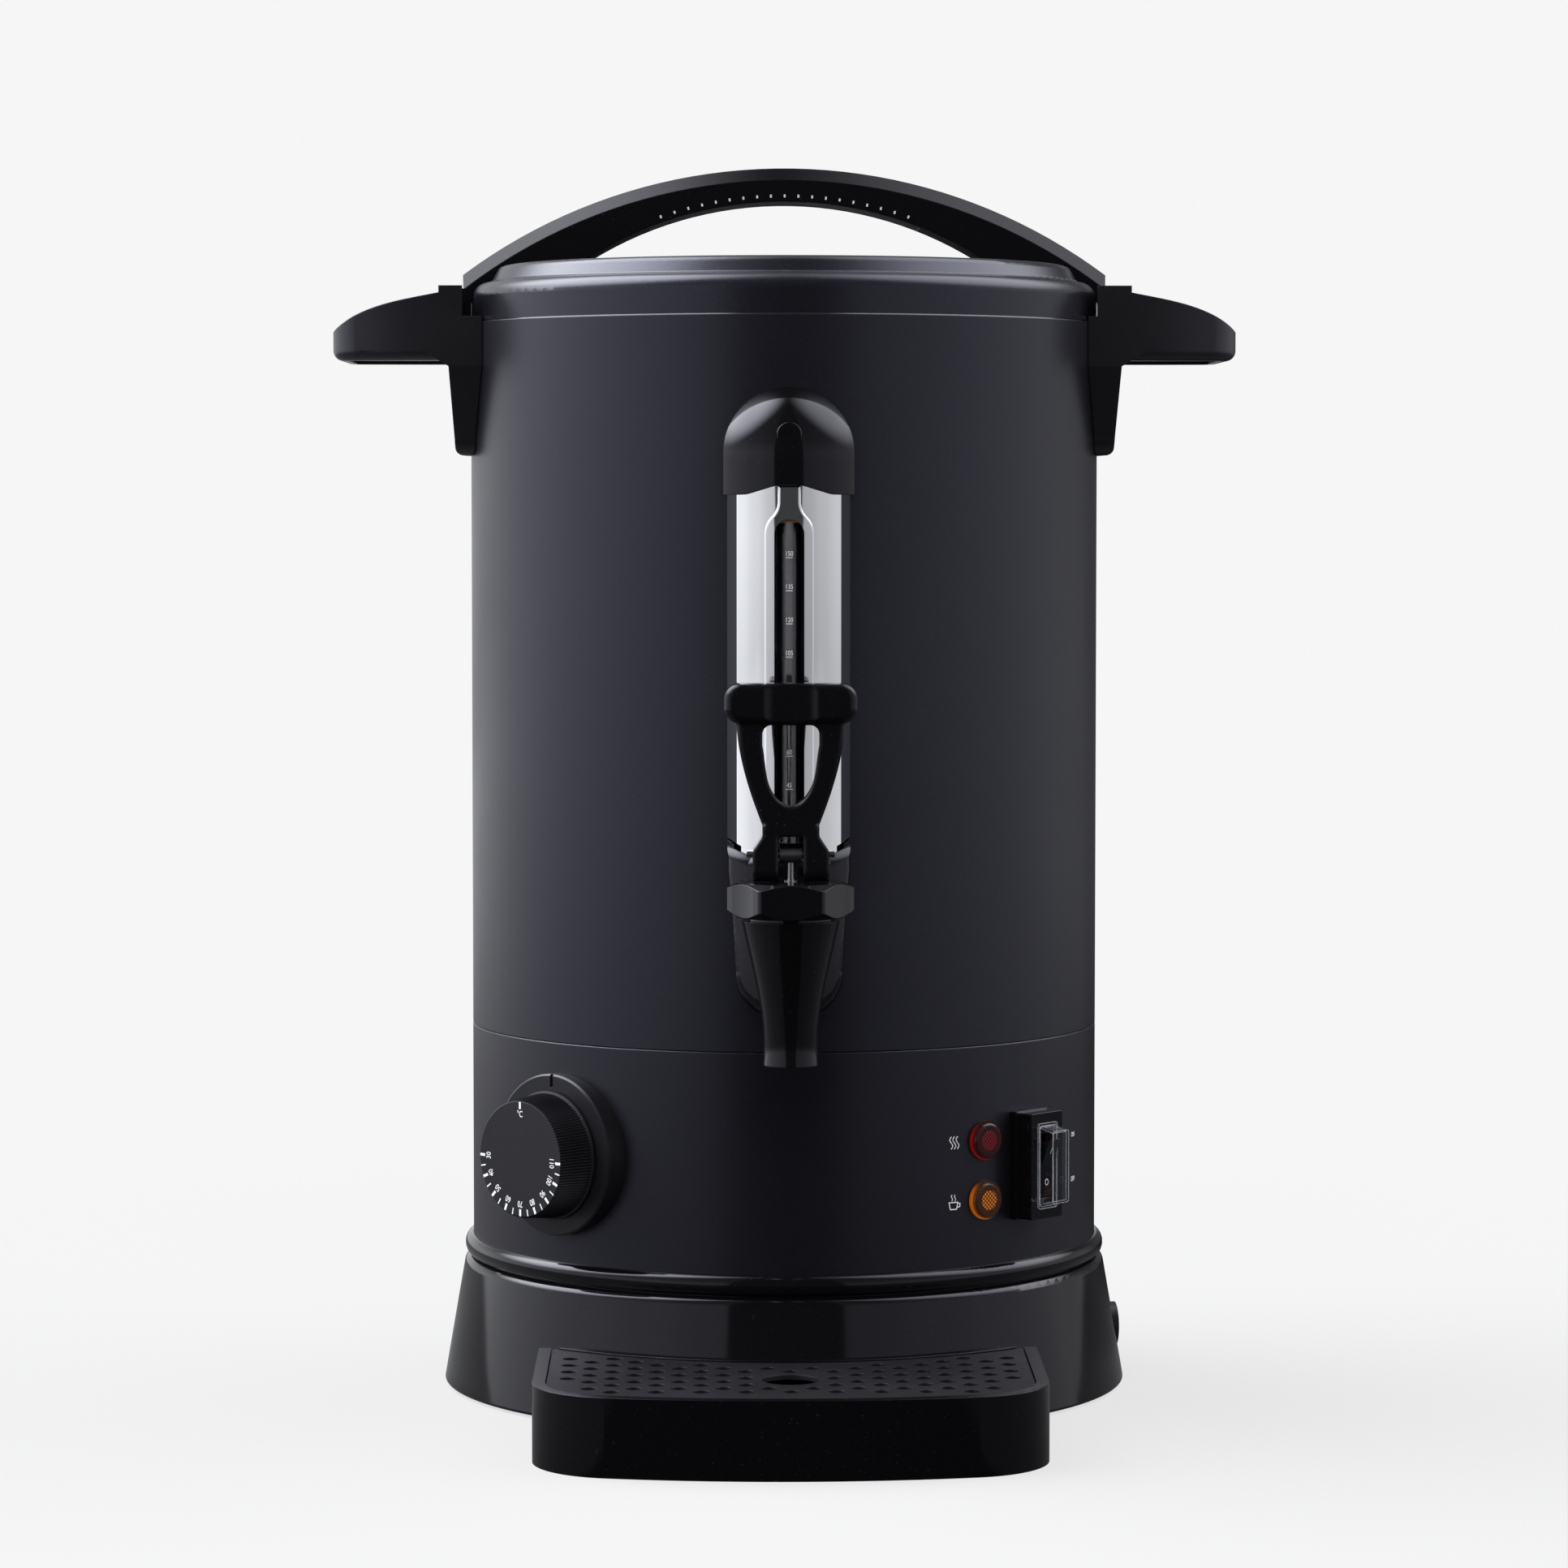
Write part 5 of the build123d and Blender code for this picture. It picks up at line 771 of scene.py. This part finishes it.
def lamp_lens(name, height, painted_glow, deep, rim):
    """A tinted lens: cross-cut centre, dark dome and rim, with a painted glow and a painted
    highlight on the rim's lower left.
    """
    material = new_finish(
        name, deep, lamp_roughness,
        Specular_IOR_Level=plastic_specular, Emission_Strength=lamp_painted_glow,
    )
    tree = material.node_tree
    shader = tree.nodes["Principled BSDF"]
    place = facing(lamp_azimuth, height, 0)
    vector = object_vector(tree)
    ways = []
    for column in (0, 1):
        way = place.col[column].to_3d()
        dot = vector_math(tree, "DOT_PRODUCT", vector, way)
        offset = place.translation.dot(way)
        ways.append(math_node(tree, "SUBTRACT", dot.outputs["Value"], offset))
    across, up = ways
    squares = math_node(tree, "MULTIPLY", across, across)
    squares = math_node(tree, "MULTIPLY_ADD", up, up, squares)
    radius = math_node(tree, "SQRT", squares)
    centre = smooth_step(
        tree, radius, lamp_centre_radius + lamp_blur_centre, lamp_centre_radius - lamp_blur_in
    )
    outer = smooth_step(
        tree, radius, lamp_dome_radius - lamp_blur_in, lamp_dome_radius + lamp_blur_rim
    )
    sum_way = math_node(tree, "ADD", across, up)
    difference = math_node(tree, "SUBTRACT", across, up)
    frequency = math.pi / lamp_cut_pitch / math.sqrt(2)
    first = math_node(tree, "SINE", math_node(tree, "MULTIPLY", sum_way, 2 * frequency))
    second = math_node(tree, "SINE", math_node(tree, "MULTIPLY", difference, 2 * frequency))
    crossed = math_node(tree, "MINIMUM", first, second)
    cuts = smooth_step(tree, crossed, lamp_cut_low, lamp_cut_high)
    cuts_and_painted_glow = math_node(tree, "MULTIPLY", cuts, centre)
    # Painted highlight: the rim is painted brighter towards its lower left side
    upper = math_node(tree, "MULTIPLY", up, rim_highlight_up)
    side = math_node(tree, "MULTIPLY_ADD", across, rim_highlight_across, upper)
    painted_rim_side = smooth_step(
        tree, side,
        rim_highlight_low_share * lamp_dome_radius, rim_highlight_high_share * lamp_dome_radius,
    )
    painted_glow_colour = mix_colour(tree, cuts_and_painted_glow, deep, painted_glow, None)
    painted_rim_mask = math_node(tree, "MULTIPLY", outer, painted_rim_side)
    whole = mix_colour(tree, painted_rim_mask, painted_glow_colour, rim, shader)
    # Painted glow: the lens's whole colour also feeds the emission, though the lamp is not lit
    tree.links.new(whole, shader.inputs["Emission Color"])
    bump(tree, cuts_and_painted_glow, lamp_cut_depth, lamp_cut_bump, shader)
    return material


red_lens = lamp_lens(
    "red_lens", lamp_heights["red_lamp"],
    painted_glow=(0.17, 0.006, 0.012), deep=(0.018, 0.004, 0.005), rim=(0.16, 0.006, 0.006),
)
amber_lens = lamp_lens(
    "amber_lens", lamp_heights["amber_lamp"],
    painted_glow=(0.62, 0.17, 0.015), deep=(0.030, 0.011, 0.005), rim=(0.45, 0.11, 0.008),
)
dress(red_lens, "red_lamp_lens")
dress(amber_lens, "amber_lamp_lens")
dress(satin_black, "red_lamp_body", "amber_lamp_body")

# The switch. A moulded frame snapped into the band with a two-way rocker, under a clear
# splash hood, its marks printed in white.
switch_azimuth = 48.0
switch_height = 0.1092
# How wide the hood's painted edge highlight is, and how softly it starts
hood_edge_width = 0.0005
hood_edge_low = 0.995
hood_edge_high = 0.88
hood_haze_scale = 160.0
hood_gloss = 0.02
hood_haze = 0.07
hood_grazing = 0.35
hood_clear = bpy.data.materials.new("clear_hood")
hood_clear.use_nodes = True
tree = hood_clear.node_tree
tree.nodes.clear()
haze = noise_node(tree, object_vector(tree), hood_haze_scale, detail=3.0)
hood_out = tree.nodes.new("ShaderNodeOutputMaterial")
see_through = tree.nodes.new("ShaderNodeBsdfTransparent")
see_through.inputs["Color"].default_value = (0.93, 0.94, 0.96, 1)
mirror = tree.nodes.new("ShaderNodeBsdfGlossy")
mirror.inputs["Color"].default_value = (0.95, 0.95, 1.0, 1)
tree.links.new(spread(tree, haze, hood_gloss, hood_haze), mirror.inputs["Roughness"])
grazing = tree.nodes.new("ShaderNodeLayerWeight")
grazing.inputs["Blend"].default_value = hood_grazing
sides = tree.nodes.new("ShaderNodeNewGeometry")
front = math_node(tree, "SUBTRACT", 1.0, sides.outputs["Backfacing"])
shine = math_node(tree, "MULTIPLY", grazing.outputs["Fresnel"], front)
pane = mix_shader(tree, shine, see_through.outputs["BSDF"], mirror.outputs["BSDF"])
# Painted highlight: a pale matt colour is laid along the hood's edges, where polished clear
# edges would catch light
rounded = tree.nodes.new("ShaderNodeBevel")
rounded.inputs["Radius"].default_value = hood_edge_width
agree = vector_math(tree, "DOT_PRODUCT", rounded.outputs["Normal"], sides.outputs["Normal"])
edge = smooth_step(tree, agree.outputs["Value"], hood_edge_low, hood_edge_high)
painted_edge_highlight = tree.nodes.new("ShaderNodeBsdfDiffuse")
painted_edge_highlight.inputs["Color"].default_value = (0.75, 0.75, 0.80, 1)
hood_mix = mix_shader(tree, edge, pane, painted_edge_highlight.outputs["BSDF"])
tree.links.new(hood_mix, hood_out.inputs["Surface"])
dress(gloss_black, "switch_frame", "switch_rocker")
dress(hood_clear, "switch_hood")

# The printed marks: I and O on the rocker, words and two signs beside it on the band
pivot_reach = 0.1487
rocker_tilt = 10.0
rocker_half_length = 0.0126
rocker_tip = 0.0023
mark_share = 0.55
mark_height = 0.0030
word_azimuth = 64.4
word_height = 0.0022
word_bold = 0.00005
word_rows = (("ON", 0.1175), ("OFF", 0.0978))
body_radius = 0.140
sign_azimuth = 30.6
sign_line = 0.00045
heat_places = (-0.0016, 0, 0.0016)
heat_half_height = 0.0026
steam_places = (-0.0012, 0.0004)
steam_low = 0.0008
steam_high = 0.0032
wave_steps = 12
wave_sway_share = 0.14


def wrap_on_band(builder, azimuth, height):
    """Bends a flat print round the band, centred on a place."""
    for vertex in builder.verts:
        place = facing(azimuth + math.degrees(vertex.co.x / body_radius), height, body_radius)
        vertex.co = place @ Vector((0, vertex.co.y, vertex.co.z + print_thickness))


def ribbon(builder, points):
    """A printed line along points in the x-y plane."""
    for (x, y), (next_x, next_y) in zip(points, points[1:]):
        length = math.hypot(next_x - x, next_y - y)
        middle = ((x + next_x) / 2, (y + next_y) / 2)
        angle = math.atan2(next_y - y, next_x - x) - math.pi / 2
        bar(builder, length + sign_line / 2, sign_line, middle, angle)


def wave(x, low, high):
    """A rising wavy line, as for heat."""
    steps = [step / wave_steps for step in range(wave_steps + 1)]
    sway = (high - low) * wave_sway_share
    return [(x + sway * math.sin(2 * math.pi * t), low + t * (high - low)) for t in steps]


rocker_marks = bmesh.new()
mark_facing = facing(switch_azimuth, switch_height, pivot_reach)
for half, word in ((-1, "I"), (1, "O")):
    tilted = Matrix.Rotation(math.radians(rocker_tilt), 4, "X")
    lean = Matrix.Rotation(-half * math.atan2(rocker_tip, rocker_half_length), 4, "X")
    spot = Vector((0, -half * mark_share * rocker_half_length, rocker_tip * (1 + mark_share)))
    lift = Matrix.Translation((0, 0, print_thickness / 2))
    mark = lettering(word, mark_height, bold=0.0)
    join(rocker_marks, mark, mark_facing @ tilted @ Matrix.Translation(spot) @ lean @ lift)
add_piece("rocker_marks", rocker_marks, print_white, "rocker")

band_words = bmesh.new()
for word, height in word_rows:
    mark = lettering(word, word_height, word_bold)
    wrap_on_band(mark, word_azimuth, height)
    join(band_words, mark, Matrix())
heat_sign = bmesh.new()
for x in heat_places:
    ribbon(heat_sign, wave(x, -heat_half_height, heat_half_height))
wrap_on_band(heat_sign, sign_azimuth, lamp_heights["red_lamp"])
join(band_words, heat_sign, Matrix())
cup_sign = bmesh.new()
cup = ((-0.0026, 0), (-0.0020, -0.0030), (0.0012, -0.0030), (0.0018, 0), (-0.0026, 0))
ear = ((0.0018, -0.0005), (0.0030, -0.0006), (0.0028, -0.0020), (0.0014, -0.0022))
ribbon(cup_sign, cup)
ribbon(cup_sign, ear)
for x in steam_places:
    ribbon(cup_sign, wave(x, steam_low, steam_high))
wrap_on_band(cup_sign, sign_azimuth, lamp_heights["amber_lamp"])
join(band_words, cup_sign, Matrix())
add_piece("band_print", band_words, print_white, "urn")

# The tank. Stainless sheet rolled and seamed, with a rolled shoulder and bead, sprayed
# with blue-black satin enamel outside and left bare inside, over a pressed steel bottom.
wall_middle_radius = 0.1395
neck_middle_radius = 0.1376
shoulder_height = 0.4806
bare_edge = 0.0003
bare_smoother = -0.16
tank_black = enamel(
    "tank_black",
    colour=(0.0050, 0.0050, 0.0075), fleck_colour=(0.014, 0.014, 0.019),
    gloss=0.30, haze=0.37, depth=0.00004,
)
tree = tank_black.node_tree
shader = tree.nodes["Principled BSDF"]
flat = vector_math(tree, "MULTIPLY", object_vector(tree), (1, 1, 0))
axis_distance = vector_math(tree, "LENGTH", flat.outputs["Vector"]).outputs["Value"]
bare = smooth_step(tree, axis_distance, wall_middle_radius, wall_middle_radius - bare_edge)
neck_bare = smooth_step(tree, axis_distance, neck_middle_radius, neck_middle_radius - bare_edge)
height_split = tree.nodes.new("ShaderNodeSeparateXYZ")
tree.links.new(object_vector(tree), height_split.inputs["Vector"])
below = smooth_step(
    tree, height_split.outputs["Z"], shoulder_height, shoulder_height - bare_edge
)
bare = math_node(tree, "MULTIPLY", bare, math_node(tree, "MAXIMUM", below, neck_bare))
painted = shader.inputs["Base Color"].links[0].from_socket
mix_colour(tree, bare, painted, (0.58, 0.58, 0.59), shader)
tree.links.new(bare, shader.inputs["Metallic"])
sprayed_roughness = shader.inputs["Roughness"].links[0].from_socket
tree.links.new(
    math_node(tree, "MULTIPLY_ADD", bare, bare_smoother, sprayed_roughness),
    shader.inputs["Roughness"],
)
dress(tank_black, "tank")
dress(bright_steel, "tank_bottom")

# The sight gauge. A chrome-plated channel with a lipped slot covers a glass tube that
# carries the scale; black moulded caps close its ends, and seals hold the tube.
tube_centre_reach = 0.150
tube_print_radius = 0.00504
scale_first = 45
scale_step = 15
scale_count = 8
scale_low = 0.2769
scale_pitch = 0.01388
scale_height = 0.0021
scale_line = (0.0029, 0.00028)
scale_line_drop = 0.0016
scale_longest_edge = 0.0012
scale_edge_cuts = 5
chrome_wipe_scale = 40.0
chrome_gloss = 0.035
chrome_haze = 0.075
film_scale = 220.0
film_gloss = 0.01
film_haze = 0.05

chrome = new_finish("chrome_trim", (0.83, 0.84, 0.86), roughness=0.05, metallic=1.0)
tree = chrome.node_tree
shader = tree.nodes["Principled BSDF"]
wiped = noise_node(tree, object_vector(tree), chrome_wipe_scale, detail=4.0)
tree.links.new(spread(tree, wiped, chrome_gloss, chrome_haze), shader.inputs["Roughness"])
mix_colour(tree, wiped, (0.85, 0.86, 0.88), (0.80, 0.81, 0.84), shader)
tube_glass = new_finish(
    "tube_glass", (0.93, 0.93, 0.95), roughness=0.02, Transmission_Weight=1.0, IOR=1.47
)
tree = tube_glass.node_tree
shader = tree.nodes["Principled BSDF"]
film = noise_node(tree, object_vector(tree), film_scale, detail=3.0)
tree.links.new(spread(tree, film, film_gloss, film_haze), shader.inputs["Roughness"])
mix_colour(tree, film, (0.93, 0.93, 0.95), (0.86, 0.86, 0.89), shader)
silicone = moulded(
    "silicone",
    colour=(0.32, 0.15, 0.08), dust_colour=(0.42, 0.24, 0.15),
    gloss=0.35, haze=0.5, grain_depth=0.00002, rounding=0.0003, grain_scale=1400.0,
)


def wrap_on_tube(builder):
    """Bends a flat print round the tube's front."""
    for vertex in builder.verts:
        angle = vertex.co.x / tube_print_radius
        radius = tube_print_radius + vertex.co.z
        across, out = radius * math.sin(angle), radius * math.cos(angle)
        vertex.co = Vector((across, -tube_centre_reach - out, vertex.co.y))


scale_print = bmesh.new()
for step in range(scale_count):
    mark = bmesh.new()
    cups = scale_first + step * scale_step
    join(mark, lettering(str(cups), scale_height, bold=0.0), Matrix())
    length, width = scale_line
    bar(mark, width, length, (0, -scale_line_drop))
    long_edges = [e for e in mark.edges if e.calc_length() > scale_longest_edge]
    bmesh.ops.subdivide_edges(mark, edges=long_edges, cuts=scale_edge_cuts)
    bmesh.ops.triangulate(mark, faces=mark.faces)
    join(scale_print, mark, Matrix.Translation((0, scale_low + step * scale_pitch, 0)))
wrap_on_tube(scale_print)
add_piece("gauge_scale", scale_print, print_white, "urn")
dress(chrome, "gauge_cover")
dress(tube_glass, "gauge_tube")
dress(silicone, "gauge_seals")
dress(gloss_black, "gauge_top_cap", "gauge_bottom_cap")
dress(bright_steel, "gauge_fitting", "gauge_screw")

# The tap. A moulded body with a tapering spout, a six-sided bonnet, a steel stem with
# a silicone cup and a spring, and a forked lever on a pin that lifts the stem.
cup_silicone = moulded(
    "cup_silicone",
    colour=(0.55, 0.54, 0.52), dust_colour=(0.62, 0.61, 0.6),
    gloss=0.4, haze=0.5, grain_depth=0.00002, rounding=0.0003, grain_scale=1400.0,
)
lever_black = moulded(
    "lever_black",
    colour=(0.0035, 0.0035, 0.0042), dust_colour=(0.03, 0.03, 0.034),
    gloss=0.06, haze=0.12, grain_depth=0.000006, rounding=0.0022,
)
dress(gloss_black, "tap_body", "tap_bonnet")
dress(lever_black, "tap_lever")
dress(bright_steel, "tap_pin", "tap_stem", "tap_spring", "tap_nut")
dress(cup_silicone, "tap_seat_cup", "tap_washers")

# The side handles. Hollow moulded wings on brackets that hug the tank, each held by two
# steel screws and washers from inside.
grip_black = moulded(
    "grip_black",
    colour=(0.0045, 0.0045, 0.0055), dust_colour=(0.035, 0.035, 0.04),
    gloss=0.28, haze=0.36, grain_depth=0.000012, rounding=0.0008, specular=0.9,
)
dress(grip_black, "handle_left", "handle_right")
dress(bright_steel, "handle_screws", "handle_washers")

# The lid. A pressed shell in the tank's enamel with a moulded ring and a silicone seal
# under its rim, and an arched carrying handle with a soft insert on its underside.
matt_start = -0.3
matt_end = -0.6
matt_rougher = 0.6
lid_black = enamel(
    "lid_black",
    colour=(0.0050, 0.0050, 0.0075), fleck_colour=(0.016, 0.016, 0.021),
    gloss=0.24, haze=0.31, depth=0.00005,
)
dress(lid_black, "lid_shell")
dress(gloss_black, "lid_rim_ring")
arch_black = moulded(
    "arch_black",
    colour=(0.0045, 0.0045, 0.0055), dust_colour=(0.035, 0.035, 0.04),
    gloss=0.10, haze=0.16, grain_depth=0.000012, rounding=0.0008, specular=0.15,
)
tree = arch_black.node_tree
shader = tree.nodes["Principled BSDF"]
slopes = tree.nodes.new("ShaderNodeTexCoord")
faces = tree.nodes.new("ShaderNodeSeparateXYZ")
tree.links.new(slopes.outputs["Normal"], faces.inputs["Vector"])
underside = smooth_step(tree, faces.outputs["Z"], matt_start, matt_end)
smooth_side = shader.inputs["Roughness"].links[0].from_socket
tree.links.new(
    math_node(tree, "MULTIPLY_ADD", underside, matt_rougher, smooth_side),
    shader.inputs["Roughness"],
)
dress(arch_black, "lid_handle")
dress(foot_rubber, "lid_handle_insert")

# Small pale blocks in a row along both sides of the arch's underside: painted glints where the
# ends of the insert's ribs catch light
rib_count = 19
rib_span = 0.1098
rib_circle = 0.1674
arch_centre = 0.3635
arch_half_depth = 0.019
rib_size = (0.0008, 0.0006, 0.0013)
rib_noise_scale = 900.0
painted_rib_glint = new_finish("painted_rib_glint", (0.75, 0.75, 0.76), roughness=0.4)
tree = painted_rib_glint.node_tree
shader = tree.nodes["Principled BSDF"]
rib_noise = noise_node(tree, object_vector(tree), rib_noise_scale)
mix_colour(tree, rib_noise, (0.80, 0.80, 0.81), (0.62, 0.62, 0.64), shader)
ribs = bmesh.new()
for rib in range(rib_count):
    x = rib_span * (rib / (rib_count - 1) - 0.5)
    turn = math.asin(x / rib_circle)
    for y in (-arch_half_depth, arch_half_depth):
        spot = Vector((x, y, arch_centre + rib_circle * math.cos(turn)))
        place = Matrix.Translation(spot) @ Matrix.Rotation(turn, 4, "Y")
        bmesh.ops.create_cube(ribs, size=1, matrix=place @ Matrix.Diagonal((*rib_size, 1)))
add_piece("handle_rib_glints_painted", ribs, painted_rib_glint, "lid")
dress(bright_steel, "lid_handle_screws")
dress(satin_black, "lid_seal")

# The drip tray. A moulded basin that hooks under the skirt's front, with a pierced
# grille that lifts out.
dress(gloss_black, "drip_tray")
dress(satin_black, "drip_grille")
